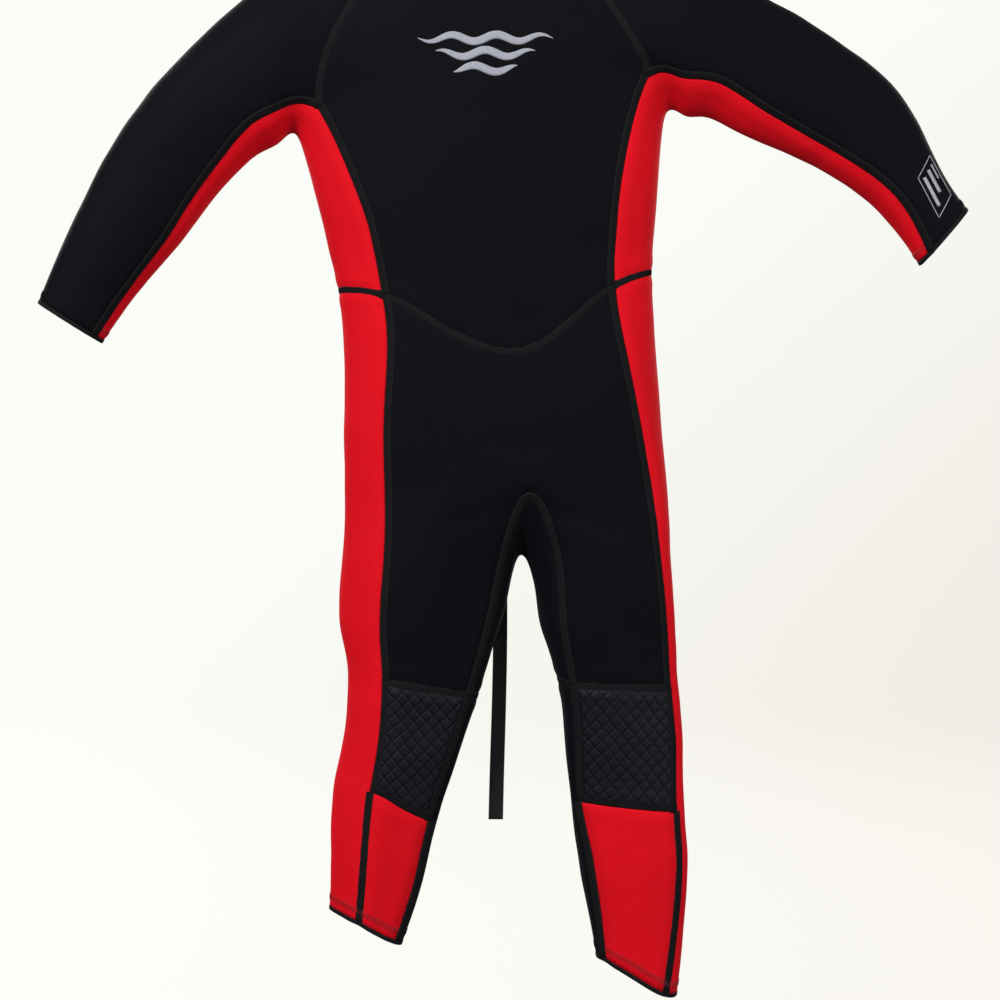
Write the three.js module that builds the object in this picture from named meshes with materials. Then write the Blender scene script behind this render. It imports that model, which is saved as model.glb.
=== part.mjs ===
// A child's full wetsuit, zipped up at the back and hanging from a hanger in its neck.
// Millimetres, +Z up, front towards -Y, origin in the middle of the neck.
// Left and right are as seen from the front, so left is towards -X.
import * as THREE from 'three'

// Driving dimensions
const NEOPRENE = 2.6          // thickness of every sewn panel
const SEAM_GAP = 0.22         // half the gap between two panels that are sewn edge to edge
const ZIP_OPENING = 7.5       // from the zip's centre line to the edge of the back panel
const BACK = 38               // the back lies flat on this plane along the zip
const LEAN = 0.0925           // sideways lean of the body's centre line, for each mm down
const NECK_CENTRE = -5        // where the centre line passes the height of the origin
const COLLAR_HEIGHT = 36
const BINDING_WIDTH = 3.2     // turned edge at wrists, ankles and collar
const BINDING_THICKNESS = 3.4
const ZIP_BOTTOM = -306       // height of the zip's bottom stop
const ZIP_TOP = 4             // height of the zip's top stops
const STRAP_WIDTH = 12
const STRAP_THICKNESS = 1.6
const HALF_DEPTHS = { armpit: 38, rib: 38, belly: 37, waist: 36, hip: 38, seat: 38, fork: 36 }

const red = { color: '#cc0f1c', roughness: 0.75, metalness: 0 }
const black = { color: '#101015', roughness: 0.8, metalness: 0 }
const knee = { color: '#20252f', roughness: 0.6, metalness: 0 }
const webbing = { color: '#0c0c0f', roughness: 0.85, metalness: 0 }
const plastic = { color: '#0b0b0d', roughness: 0.4, metalness: 0 }
const hooks = { color: '#17171b', roughness: 0.9, metalness: 0 }

const suit = new THREE.Group()

function add(name, geometry, finish, parent = suit) {
  const mesh = new THREE.Mesh(geometry, new THREE.MeshStandardMaterial(finish))
  mesh.name = name
  parent.add(mesh)
  return mesh
}

const centreX = (z) => NECK_CENTRE - LEAN * z

// The cage: a net of four-sided faces whose smooth limit surface is the outside of the suit.
const cage = { points: [], faces: [] }

function point(x, y, z) {
  cage.points.push(new THREE.Vector3(x, y, z))
  return cage.points.length - 1
}

// Joins two rings of points with faces; the panel of each face is named in the list.
function band(upper, lower, panels, closed = true) {
  const count = closed ? upper.length : upper.length - 1
  for (let i = 0; i < count; i++) {
    const next = (i + 1) % upper.length
    cage.faces.push({ corners: [upper[i], lower[i], lower[next], upper[next]], panel: panels[i] })
  }
}

// Depth of a flattened round section at a share of its half width.
const crown = (share, half) => half * (1 - Math.min(1, Math.abs(share)) ** 2.5) ** 0.4

// One round of the body: side, seam, centre, seam, side on the front, then back across.
// The half depth is the front's; the back keeps one depth, so that the zip lies straight.
// Each place is [x, z]; the three middle columns of the front may dip below a straight line.
function bodyRound(left, leftSeam, centre, rightSeam, right, half, backZ, quarterDrop = 0) {
  const width = (right[0] - left[0]) / 2
  const middle = (right[0] + left[0]) / 2
  const place = (x, z, side) => point(x, side * crown((x - middle) / width, side > 0 ? BACK : half), z)
  const between = (a, b, drop) => [(a[0] + b[0]) / 2, (a[1] + b[1]) / 2 - drop]
  const leftQuarter = between(leftSeam, centre, quarterDrop)
  const rightQuarter = between(rightSeam, centre, quarterDrop)
  const front = [leftSeam, leftQuarter, centre, rightQuarter, rightSeam].map((p) => place(p[0], p[1], -1))
  const backCentre = [centreX(backZ), backZ]
  const rightBackSeam = [rightSeam[0], (rightSeam[1] + right[1]) / 2]
  const leftBackSeam = [leftSeam[0], (leftSeam[1] + left[1]) / 2]
  const rightBack = between(rightBackSeam, backCentre, 0)
  const leftBack = between(leftBackSeam, backCentre, 0)
  return [
    place(left[0], left[1], -1), ...front, place(right[0], right[1], -1),
    place(rightBackSeam[0], rightBackSeam[1], 1), place(rightBack[0], rightBack[1], 1),
    point(backCentre[0], BACK, backCentre[1]),
    place(leftBack[0], leftBack[1], 1), place(leftBackSeam[0], leftBackSeam[1], 1)
  ]
}

const D = HALF_DEPTHS
const armpit = bodyRound([-147, -165], [-129, -147], [7, -150], [131, -122], [148, -147], D.armpit, -146)
const rib = bodyRound([-132, -216], [-98, -214], [13, -220], [111, -198], [142, -192], D.rib, -206)
const belly = bodyRound([-123, -254], [-86, -253], [19, -284], [106, -248], [138, -236], D.belly, -262, 6)
const waist = bodyRound([-115, -289], [-78, -295], [26, -340], [105, -287], [136, -274], D.waist, -318, 6)
const hip = bodyRound([-110, -332], [-74, -336], [29, -380], [114, -340], [138, -332], D.hip, -362, 3)
const seat = bodyRound([-110, -392], [-77, -396], [33, -416], [126, -396], [144, -392], D.seat, -414)
const fork = bodyRound([-110, -452], [-76, -454], [37, -450], [136, -456], [148, -456], D.fork, -468)

// Above the armpits the front and the back run up to the neckline between the raglan seams.
const raglanFrontLeft = [[-124, -30, -112], [-108, -31, -74], [-63, -21, -19]]
const raglanFrontRight = [[124, -30, -102], [102, -31, -67], [53, -21, -14]]
const chestMiddle = [
  [[-66, -37, -105], [3, -38, -106], [70, -37, -100]],
  [[-56, -36, -67], [0, -37, -66], [55, -36, -61]],
  [[-36, -30, -33], [-4, -33, -38], [29, -30, -30]]
]
const raglanBackLeft = [[-124, 30, -110], [-108, 33, -66], [-62, 24, 6]]
const raglanBackRight = [[124, 30, -98], [102, 33, -58], [52, 24, 11]]
const backMiddleHeights = [-104, -58, 10]
const sideNeckLeft = point(-69, 2, 2)
const sideNeckRight = point(60, 2, 8)

const besideZip = (seamDepth) => Math.min(BACK - 0.7, (BACK + seamDepth) / 2 + 6)

const frontRounds = raglanFrontLeft.map((left, i) =>
  [left, ...chestMiddle[i], raglanFrontRight[i]].map((p) => point(...p)))
const backRounds = raglanBackRight.map((right, i) => {
  const z = backMiddleHeights[i]
  const x = centreX(z)
  const left = raglanBackLeft[i]
  return [
    point(...right),
    point((x + right[0]) / 2, besideZip(right[1]), (z + right[2]) / 2),
    point(x, BACK, z),
    point((x + left[0]) / 2, besideZip(left[1]), (z + left[2]) / 2),
    point(...left)
  ]
})

const chestPanels = Array(4).fill('front_chest_panel')
const backPanels = ['back_panel_right', 'back_panel_right', 'back_panel_left', 'back_panel_left']
let frontBelow = armpit.slice(1, 6)
let backBelow = armpit.slice(7, 12)
for (let i = 0; i < 3; i++) {
  band(frontRounds[i], frontBelow, chestPanels, false)
  band(backRounds[i], backBelow, backPanels, false)
  frontBelow = frontRounds[i]
  backBelow = backRounds[i]
}

const upperBody = ['side_panel_upper_left', ...chestPanels, 'side_panel_upper_right',
  'side_panel_upper_right', ...backPanels, 'side_panel_upper_left']
const lowerBody = ['side_panel_lower_left', ...Array(4).fill('front_lower_panel'), 'side_panel_lower_right',
  'side_panel_lower_right', ...Array(4).fill('seat_panel'), 'side_panel_lower_left']
band(armpit, rib, upperBody)
band(rib, belly, upperBody)
band(belly, waist, upperBody)
band(waist, hip, lowerBody)
band(hip, seat, lowerBody)
band(seat, fork, lowerBody)

// Sleeves: each round is a flattened ring from the underarm to the outer edge, [x, z] each,
// with the share of the way at which the red underarm panel ends, and the half depth.
const leftArm = [
  { outer: [-150, -30], under: [-161, -169], seam: 0.15, half: 34 },
  { outer: [-208, -70], under: [-176, -178], seam: 0.17, half: 31 },
  { outer: [-258, -120], under: [-196, -194], seam: 0.13, half: 28 },
  { outer: [-293, -168], under: [-222, -224], seam: 0.11, half: 25 },
  { outer: [-316, -210], under: [-245, -254], seam: 0.085, half: 23 },
  { outer: [-336, -253], under: [-274, -287], seam: 0.065, half: 20 },
  { outer: [-354, -296], under: [-303, -328], seam: 0.06, half: 17 }
]
const rightArm = [
  { outer: [136, -10], under: [162, -149], seam: 0.18, half: 34 },
  { outer: [202, -42], under: [178, -150], seam: 0.22, half: 31 },
  { outer: [254, -70], under: [202, -160], seam: 0.2, half: 28 },
  { outer: [306, -104], under: [242, -178], seam: 0.17, half: 25 },
  { outer: [341, -142], under: [281, -198], seam: 0.18, half: 23 },
  { outer: [365, -189], under: [318, -226], seam: 0.24, half: 20 },
  { outer: [387, -222], under: [349, -266], seam: 0.14, half: 17 }
]

function armRound({ outer, under, seam, half }, direction) {
  const seamAngle = Math.acos(2 * seam - 1)
  const angles = [1, 0.75, 0.5, 0.25, 0, -0.25, -0.5, -0.75, -1].map((share) => share * seamAngle)
  const ring = [...angles, Math.PI].map((angle) => {
    const reach = (1 + Math.cos(angle)) / 2
    const x = under[0] + (outer[0] - under[0]) * reach
    const z = under[1] + (outer[1] - under[1]) * reach
    return point(x, -half * Math.sin(angle), z)
  })
  return direction > 0 ? ring : [ring[0], ...ring.slice(1).reverse()]
}

// The sleeve starts on the raglan seam, which runs from the armpit over the neck and back.
const armholeRight = [armpit[5], ...frontRounds.map((r) => r[4]), sideNeckRight,
  ...backRounds.map((r) => r[0]).reverse(), armpit[7], armpit[6]]
const armholeLeftForward = [armpit[1], ...frontRounds.map((r) => r[0]), sideNeckLeft,
  ...backRounds.map((r) => r[4]).reverse(), armpit[11], armpit[0]]
const armholeLeft = [armholeLeftForward[0], ...armholeLeftForward.slice(1).reverse()]

function sleeve(armhole, stations, direction, side) {
  const cover = Array(8).fill('sleeve_' + side)
  const underarm = Array(2).fill('side_panel_upper_' + side)
  const panels = direction > 0 ? [...cover, ...underarm] : [...underarm, ...cover]
  let upper = armhole
  for (const station of stations) {
    const lower = armRound(station, direction)
    band(upper, lower, panels)
    upper = lower
  }
  return upper
}
const wristLeft = sleeve(armholeLeft, leftArm, -1, 'left')
const wristRight = sleeve(armholeRight, rightArm, 1, 'right')

// Legs: each round goes from the outer side over the front to the inner side and back behind.
// strip is where the front edge of the inner leg panel runs.
const leftLeg = [
  { outer: [-112, -504], seam: [-77, -506], strip: [13, -522], inner: [20, -538], half: 33 },
  { outer: [-114, -552], seam: [-80, -557], strip: [2, -566], inner: [8, -572], half: 31 },
  { outer: [-108, -590], seam: [-78, -598], strip: [-10, -611], inner: [-3, -612], half: 28 },
  { outer: [-110, -644], seam: [-82, -649], strip: [-23, -651], inner: [-16, -652], half: 27 },
  { outer: [-118, -682], seam: [-88, -686], strip: [-42, -710], inner: [-36, -712], half: 25 },
  { outer: [-121, -732], seam: [-93, -737], strip: [-53.5, -760], inner: [-48, -762], half: 22 },
  { outer: [-122, -780], seam: [-97.5, -790], strip: [-68.5, -806], inner: [-63.5, -808], half: 18 }
]
const rightLeg = [
  { outer: [151, -506], seam: [142, -504], strip: [60, -504], inner: [41, -522], half: 33 },
  { outer: [154, -554], seam: [147, -552], strip: [64, -552], inner: [47, -556], half: 31 },
  { outer: [156, -605], seam: [150, -605], strip: [72, -602], inner: [60, -599], half: 28 },
  { outer: [159, -652], seam: [154, -652], strip: [76, -648], inner: [66, -648], half: 27 },
  { outer: [162, -703], seam: [155, -703], strip: [78, -695], inner: [71, -694], half: 26 },
  { outer: [164, -764], seam: [156.5, -760], strip: [89, -746], inner: [78, -746], half: 24 },
  { outer: [156, -848], seam: [146, -847], strip: [98, -820], inner: [91, -818], half: 19 }
]

const forkMiddle = point(30, 0, -501)
const KNEE_TOP = 2            // places in the lists above
const KNEE_BOTTOM = 4

function legRound({ outer, seam, strip, inner, half }) {
  const width = (inner[0] - outer[0]) / 2
  const middle = (inner[0] + outer[0]) / 2
  const place = (x, z, side) => point(x, side * crown((x - middle) / width, half), z)
  const halfway = [(seam[0] + strip[0]) / 2, (seam[1] + strip[1]) / 2]
  const out = place(outer[0], outer[1], -1)
  const front = [seam, halfway, strip].map((p) => place(p[0], p[1], -1))
  const inside = place(inner[0], inner[1], -1)
  const back = [strip, halfway, seam].map((p) => place(p[0], p[1], 1))
  return [out, ...front, inside, ...back]
}

function leg(start, stations, direction, side) {
  let upper = start
  stations.forEach((station, i) => {
    const forward = legRound(station)
    const lower = direction > 0 ? [forward[0], ...forward.slice(1).reverse()] : forward
    const side_panel = 'side_panel_lower_' + side
    const belowKneeTop = i > KNEE_TOP
    const front = i <= KNEE_TOP ? 'front_lower_panel' : i <= KNEE_BOTTOM ? 'knee_pad_' + side : 'shin_panel_' + side
    const inside = belowKneeTop ? 'inner_calf_panel_' + side : 'inseam_gusset'
    const back = belowKneeTop ? 'calf_panel_' + side : 'seat_panel'
    const forwardPanels = [side_panel, front, front, inside, inside, back, back, side_panel]
    const panels = direction > 0 ? forwardPanels.slice().reverse() : forwardPanels
    band(upper, lower, panels)
    upper = lower
  })
  return upper
}
const [, , , forkFront, , , , , , forkBack] = fork
const legStartLeft = [fork[0], fork[1], fork[2], forkFront, forkMiddle, forkBack, fork[10], fork[11]]
const legStartRight = [fork[6], fork[7], fork[8], forkBack, forkMiddle, forkFront, fork[4], fork[5]]
const ankleLeft = leg(legStartLeft, leftLeg, -1, 'left')
const ankleRight = leg(legStartRight, rightLeg, 1, 'right')
const neckline = [...frontRounds[2], sideNeckRight, ...backRounds[2], sideNeckLeft]

// Edges of a net, each with the faces beside it.
const edgeKey = (a, b) => a < b ? a + '_' + b : b + '_' + a
function edgesOf(net) {
  const edges = new Map()
  net.faces.forEach((face, f) => {
    face.corners.forEach((a, i) => {
      const b = face.corners[(i + 1) % 4]
      const key = edgeKey(a, b)
      if (!edges.has(key)) edges.set(key, { a, b, faces: [] })
      edges.get(key).faces.push(f)
    })
  })
  return edges
}

// Where each point of the net lies on the smooth limit surface.
function limitPoints(net) {
  const near = net.points.map(() => ({ edges: new THREE.Vector3(), rim: new THREE.Vector3(), count: 0, rims: 0 }))
  const across = net.points.map(() => new THREE.Vector3())
  for (const { a, b, faces } of edgesOf(net).values()) {
    for (const [from, to] of [[a, b], [b, a]]) {
      near[from].edges.add(net.points[to])
      near[from].count += 1
      if (faces.length === 1) {
        near[from].rim.add(net.points[to])
        near[from].rims += 1
      }
    }
  }
  net.faces.forEach(({ corners }) => corners.forEach((v, i) => across[v].add(net.points[corners[(i + 2) % 4]])))
  return net.points.map((p, v) => {
    const { edges, rim, count, rims } = near[v]
    if (count === 2) return p.clone()
    if (rims > 0) return p.clone().multiplyScalar(4).add(rim).divideScalar(6)
    return p.clone().multiplyScalar(count * count).addScaledVector(edges, 4).add(across[v])
      .divideScalar(count * (count + 5))
  })
}

// Moves the net's points until the limit surface passes close to where they were set.
function fitToStations(net, rounds = 8) {
  const stations = net.points.map((p) => p.clone())
  for (let i = 0; i < rounds; i++) {
    const reached = limitPoints(net)
    net.points.forEach((p, v) => p.add(stations[v]).sub(reached[v]))
  }
}

// One round of Catmull-Clark subdivision; the old points come first in the new net.
function subdivide(net) {
  const edges = [...edgesOf(net).values()]
  const facePoints = net.faces.map(({ corners }) =>
    corners.reduce((sum, v) => sum.add(net.points[v]), new THREE.Vector3()).divideScalar(4))
  const middles = edges.map(({ a, b }) => net.points[a].clone().add(net.points[b]).divideScalar(2))
  const edgePoints = edges.map(({ faces }, e) => faces.length === 1 ? middles[e].clone()
    : middles[e].clone().multiplyScalar(2).add(facePoints[faces[0]]).add(facePoints[faces[1]]).divideScalar(4))
  const sums = net.points.map(() => ({ middles: new THREE.Vector3(), rim: new THREE.Vector3(), count: 0, rims: 0 }))
  edges.forEach(({ a, b, faces }, e) => {
    for (const v of [a, b]) {
      sums[v].middles.add(middles[e])
      sums[v].count += 1
      if (faces.length === 1) {
        sums[v].rim.add(middles[e])
        sums[v].rims += 1
      }
    }
  })
  const faceSums = net.points.map(() => new THREE.Vector3())
  net.faces.forEach(({ corners }, f) => corners.forEach((v) => faceSums[v].add(facePoints[f])))
  const moved = net.points.map((p, v) => {
    const { middles: near, rim, count, rims } = sums[v]
    if (count === 2) return p.clone()
    if (rims > 0) return p.clone().multiplyScalar(2).add(rim).divideScalar(4)
    return faceSums[v].divideScalar(count).addScaledVector(near, 2 / count)
      .addScaledVector(p, count - 3).divideScalar(count)
  })
  const edgeIndex = new Map(edges.map(({ a, b }, e) => [edgeKey(a, b), net.points.length + e]))
  const firstFace = net.points.length + edges.length
  const faces = net.faces.flatMap(({ corners, panel }, f) => corners.map((v, i) => {
    const next = edgeIndex.get(edgeKey(v, corners[(i + 1) % 4]))
    const before = edgeIndex.get(edgeKey(v, corners[(i + 3) % 4]))
    return { corners: [v, next, firstFace + f, before], panel }
  }))
  return { points: [...moved, ...edgePoints, ...facePoints], faces }
}

// The subdivided net laid on its limit surface, with outward normals at its points.
function surfaceOf(net) {
  fitToStations(net)
  const fine = subdivide(net)
  const points = limitPoints(fine)
  const normals = points.map(() => new THREE.Vector3())
  for (const { corners } of fine.faces) {
    const [a, b, c, d] = corners.map((v) => points[v])
    const normal = c.clone().sub(a).cross(d.clone().sub(b))
    corners.forEach((v) => normals[v].add(normal))
  }
  normals.forEach((n) => n.normalize())
  return { points, normals, faces: fine.faces }
}

// The edges round a set of faces, and at each point on them the way into the faces.
function rimOf(surface, faces) {
  const edges = new Map()
  for (const { corners } of faces) {
    corners.forEach((a, i) => {
      const b = corners[(i + 1) % 4]
      const key = edgeKey(a, b)
      edges.set(key, edges.has(key) ? null : [a, b])
    })
  }
  const rim = [...edges.values()].filter((edge) => edge)
  const inward = new Map()
  for (const [a, b] of rim) {
    const along = surface.points[b].clone().sub(surface.points[a])
    for (const v of [a, b]) {
      const into = surface.normals[v].clone().cross(along).normalize()
      if (!inward.has(v)) inward.set(v, [])
      inward.get(v).push(into)
    }
  }
  return { rim, inward }
}

function bodyFrom(points, triangles) {
  const geometry = new THREE.BufferGeometry()
  geometry.setAttribute('position', new THREE.Float32BufferAttribute(points.flatMap((p) => [p.x, p.y, p.z]), 3))
  geometry.setIndex(triangles)
  return geometry
}

// A panel: its faces on the outside, pulled back from the seams, and the same faces one
// thickness inside. openAt gives a further move for points beside an opening.
function panelBody(surface, name, openAt = () => new THREE.Vector3()) {
  const faces = surface.faces.filter(({ panel }) => panel === name)
  const { rim, inward } = rimOf(surface, faces)
  const used = [...new Set(faces.flatMap(({ corners }) => corners))]
  const place = new Map(used.map((v, i) => [v, i]))
  const outside = used.map((v) => {
    const p = surface.points[v].clone()
    if (!inward.has(v)) return p
    const [first, second] = inward.get(v)
    const way = first.clone().add(second).normalize()
    return p.addScaledVector(way, SEAM_GAP / Math.max(0.5, way.dot(first))).add(openAt(surface.points[v]))
  })
  const inside = used.map((v, i) => outside[i].clone().addScaledVector(surface.normals[v], -NEOPRENE))
  const count = used.length
  const triangles = []
  for (const { corners } of faces) {
    const [a, b, c, d] = corners.map((v) => place.get(v))
    triangles.push(a, b, c, a, c, d)
    triangles.push(a + count, c + count, b + count, a + count, d + count, c + count)
  }
  for (const edge of rim) {
    const [a, b] = edge.map((v) => place.get(v))
    triangles.push(b, a, a + count, b, a + count, b + count)
  }
  return bodyFrom([...outside, ...inside], triangles)
}

// The edges of an open rim that run along a row of the net's own points.
function edgesAlong(surface, row) {
  const onRow = new Set(row)
  const { rim } = rimOf(surface, surface.faces)
  const links = new Map()
  const between = ([a, b]) => onRow.has(a) ? b : a
  const touching = rim.filter(([a, b]) => onRow.has(a) || onRow.has(b))
  touching.forEach((edge) => links.set(between(edge), (links.get(between(edge)) ?? 0) + 1))
  return touching.filter((edge) => links.get(between(edge)) === 2)
}

// A turned edge: a flat band that caps an open rim, with closed ends where it stops.
function bindingBody(surface, row) {
  const edges = edgesAlong(surface, row)
  const used = [...new Set(edges.flat())]
  const place = new Map(used.map((v, i) => [v, i * 4]))
  const proud = (BINDING_THICKNESS - NEOPRENE) / 2
  const along = (v) => {
    const way = new THREE.Vector3()
    edges.filter((edge) => edge.includes(v)).forEach(([a, b]) =>
      way.add(surface.points[b].clone().sub(surface.points[a]).normalize()))
    return way.normalize()
  }
  const points = used.flatMap((v) => {
    const out = along(v).cross(surface.normals[v]).normalize()
    const corner = (far, up) => surface.points[v].clone().addScaledVector(out, far)
      .addScaledVector(surface.normals[v], up)
    return [corner(SEAM_GAP, proud), corner(BINDING_WIDTH, proud),
      corner(BINDING_WIDTH, -NEOPRENE - proud), corner(SEAM_GAP, -NEOPRENE - proud)]
  })
  const triangles = edges.flatMap(([a, b]) => [0, 1, 2, 3].flatMap((i) => {
    const next = (i + 1) % 4
    const [a0, a1, b0, b1] = [place.get(a) + i, place.get(a) + next, place.get(b) + i, place.get(b) + next]
    return [a0, a1, b1, a0, b1, b0]
  }))
  for (const v of used) {
    const p = place.get(v)
    if (!edges.some(([, b]) => b === v)) triangles.push(p, p + 3, p + 2, p, p + 2, p + 1)
    if (!edges.some(([a]) => a === v)) triangles.push(p, p + 1, p + 2, p, p + 2, p + 3)
  }
  return bodyFrom(points, triangles)
}

// The back panels stop short of the zip on both sides.
function besideZipEdge(direction) {
  return (p) => {
    const onZip = p.y > BACK - 4 && Math.abs(p.x - centreX(p.z)) < 2
    const lift = p.z < ZIP_BOTTOM ? 3.2 : 0
    return onZip ? new THREE.Vector3(direction * (ZIP_OPENING - SEAM_GAP), 0, lift) : new THREE.Vector3()
  }
}

const body = surfaceOf(cage)
const panelNames = [...new Set(cage.faces.map(({ panel }) => panel))]
for (const name of panelNames) {
  const finish = /side|shin/.test(name) ? red : /knee/.test(name) ? knee : black
  const openAt = name === 'back_panel_left' ? besideZipEdge(-1)
    : name === 'back_panel_right' ? besideZipEdge(1) : undefined
  add(name, panelBody(body, name, openAt), finish)
}
add('wrist_binding_left', bindingBody(body, wristLeft), black)
add('wrist_binding_right', bindingBody(body, wristRight), black)
add('ankle_binding_left', bindingBody(body, ankleLeft), black)
add('ankle_binding_right', bindingBody(body, ankleRight), black)

// The collar stands on the neckline and is open at the back, over the zip.
const COLLAR_GAP = 0.9
const COLLAR_SPLIT = 2
const neck = neckline.map((v) => body.points[v])
const roundNeck = [8, 9, 10, 11, 0, 1, 2, 3, 4, 5, 6, 7, 8].map((i) => neck[i])
const neckMiddle = neck.reduce((sum, p) => sum.add(p), new THREE.Vector3()).divideScalar(neck.length)
const collarNet = { points: [], faces: [] }
const collarRows = [COLLAR_GAP, COLLAR_HEIGHT / 2, COLLAR_HEIGHT].map((height, row) =>
  roundNeck.map((p, i) => {
    const away = p.clone().sub(neckMiddle)
    const narrow = 1 - 0.05 * row
    const level = 1 - 0.2 * row
    const split = i === 0 ? -COLLAR_SPLIT : i === roundNeck.length - 1 ? COLLAR_SPLIT : 0
    collarNet.points.push(new THREE.Vector3(
      neckMiddle.x + away.x * narrow - LEAN * height + split,
      neckMiddle.y + away.y * narrow,
      neckMiddle.z + away.z * level + height))
    return collarNet.points.length - 1
  }))
for (let row = 0; row < 2; row++) {
  const [lower, upper] = [collarRows[row], collarRows[row + 1]]
  for (let i = 0; i < lower.length - 1; i++) {
    collarNet.faces.push({ corners: [upper[i], lower[i], lower[i + 1], upper[i + 1]], panel: 'collar' })
  }
}
const collar = surfaceOf(collarNet)
add('collar', panelBody(collar, 'collar'), black)
add('collar_binding', bindingBody(collar, collarRows[2]), black)

// The zip, in its own frame: x across it, y out of the back, z up, zero at its top stops.
const zip = new THREE.Group()
zip.position.set(centreX(ZIP_TOP), BACK, ZIP_TOP)
zip.rotation.y = -Math.atan(LEAN)
suit.add(zip)
const ZIP_LENGTH = (ZIP_TOP - ZIP_BOTTOM) * Math.hypot(1, LEAN)
const CHAIN_HALF_WIDTH = 3.2
const SLIDER_LENGTH = 14

// A block between two corners of the zip's frame.
function block(name, low, high, finish, parent = zip) {
  const size = high.map((value, i) => value - low[i])
  const mesh = add(name, new THREE.BoxGeometry(...size), finish, parent)
  mesh.position.set(...high.map((value, i) => (value + low[i]) / 2))
  return mesh
}

for (const [side, direction] of [['left', -1], ['right', 1]]) {
  const across = (a, b) => direction > 0 ? [a, b] : [-b, -a]
  const piece = (name, [nearX, farX], [lowY, highY], [lowZ, highZ], finish) => {
    const [x0, x1] = across(nearX, farX)
    block(name + '_' + side, [x0, lowY, lowZ], [x1, highY, highZ], finish)
  }
  piece('zip_tape', [1, 13], [-3.9, -3.3], [-ZIP_LENGTH - 6, 2], webbing)
  piece('zip_chain', [0.15, CHAIN_HALF_WIDTH], [-3, -0.8], [-ZIP_LENGTH, 0], plastic)
  piece('zip_top_stop', [0.3, CHAIN_HALF_WIDTH], [-3, -0.6], [0.4, 3], plastic)
}
block('zip_bottom_stop', [-3.6, -3, -ZIP_LENGTH - 4.8], [3.6, -0.6, -ZIP_LENGTH - 0.4], plastic)
block('inner_zip_flap', [-20, -6.4, -ZIP_LENGTH - 4], [17, -4.8, 0], black)

// Outlines made of corners, pushed to a thickness.
const outline = (corners) => new THREE.Shape(corners.map(([x, y]) => new THREE.Vector2(x, y)))
const push = (shape, depth) => new THREE.ExtrudeGeometry(shape, { depth, bevelEnabled: false, curveSegments: 8 })

// Slider: a channel that rides over the chain, with a bridge that holds the pull tab.
const channel = outline([[-5, -2.8], [-3.6, -2.8], [-3.6, -0.4], [3.6, -0.4], [3.6, -2.8], [5, -2.8],
  [5, 0.5], [3.8, 1], [-3.8, 1], [-5, 0.5]])
const slider = add('zip_slider', push(channel, SLIDER_LENGTH), plastic, zip)
slider.position.z = -SLIDER_LENGTH
block('zip_slider_plate', [-4.6, -4.7, -SLIDER_LENGTH], [4.6, -4.15, -1], plastic)

// Shapes drawn in the plane of the zip's depth and height, pushed across it.
function acrossZip(name, corners, width, finish) {
  const mesh = add(name, push(outline(corners), width), finish, zip)
  mesh.geometry.applyMatrix4(new THREE.Matrix4().set(0, 0, 1, -width / 2, 1, 0, 0, 0, 0, 1, 0, 0, 0, 0, 0, 1))
  return mesh
}
acrossZip('zip_slider_bridge', [[1.2, -3], [4, -3.4], [4.3, -4.4], [4.3, -9.6], [4, -10.6], [1.2, -11],
  [1.2, -9.8], [3.3, -9.4], [3.3, -4.6], [1.2, -4.2]], 3, plastic)

// Pull tab: a plate hung on the bridge, with a wide slot at its foot for the strap.
const TAB_DEPTH = [1.5, 2.6]    // how far it stands out of the back
const tabPlate = outline([[-3.8, -4.6], [3.8, -4.6], [4.4, -17], [8.6, -22.6], [8.6, -27.4], [7.6, -28.4],
  [-7.6, -28.4], [-8.6, -27.4], [-8.6, -22.6], [-4.4, -17]])
const window = (x, top, bottom) => outline([[-x, top], [-x, bottom], [x, bottom], [x, top]])
tabPlate.holes.push(window(2.2, -6.2, -13), window(6.7, -23.6, -27))
const tab = add('pull_tab', push(tabPlate, TAB_DEPTH[1] - TAB_DEPTH[0]), plastic, zip)
tab.geometry.applyMatrix4(new THREE.Matrix4().set(1, 0, 0, 0, 0, 0, -1, TAB_DEPTH[1], 0, 1, 0, 0, 0, 0, 0, 1))

// The strap's end: webbing folded round the foot of the tab.
acrossZip('strap_loop', [[0.1, -47], [1.1, -47], [1.1, -26.7], [3, -26.7], [3, -47], [4, -47],
  [4, -26.2], [3.3, -25.5], [0.8, -25.5], [0.1, -26.2]], STRAP_WIDTH, webbing)

// The strap hangs free down the back and behind the legs; its points are the middle of its depth.
const strapRoute = new THREE.CatmullRomCurve3([
  [-1.3, 40.1, -43.5], [0.1, 40.6, -60], [2.4, 41.4, -90], [4.6, 41.8, -130], [6.4, 42, -175],
  [8, 42, -225], [9.4, 42, -280], [10.6, 42, -335], [11.5, 42, -390], [12.1, 42, -440],
  [13.2, 42, -490], [13.7, 42, -540], [13.7, 42, -585], [13.3, 42, -630], [12.6, 42, -672], [11.8, 42, -718]
].map((p) => new THREE.Vector3(...p)))
const HALF_WIDTH = STRAP_WIDTH / 2
const HALF_THICK = STRAP_THICKNESS / 2
const strapSection = outline([[-0.4, -HALF_WIDTH], [0.4, -HALF_WIDTH], [HALF_THICK, 0.5 - HALF_WIDTH],
  [HALF_THICK, HALF_WIDTH - 0.5], [0.4, HALF_WIDTH], [-0.4, HALF_WIDTH],
  [-HALF_THICK, HALF_WIDTH - 0.5], [-HALF_THICK, 0.5 - HALF_WIDTH]])
add('pull_strap', new THREE.ExtrudeGeometry(strapSection, { steps: 28, extrudePath: strapRoute }), webbing)

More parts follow.
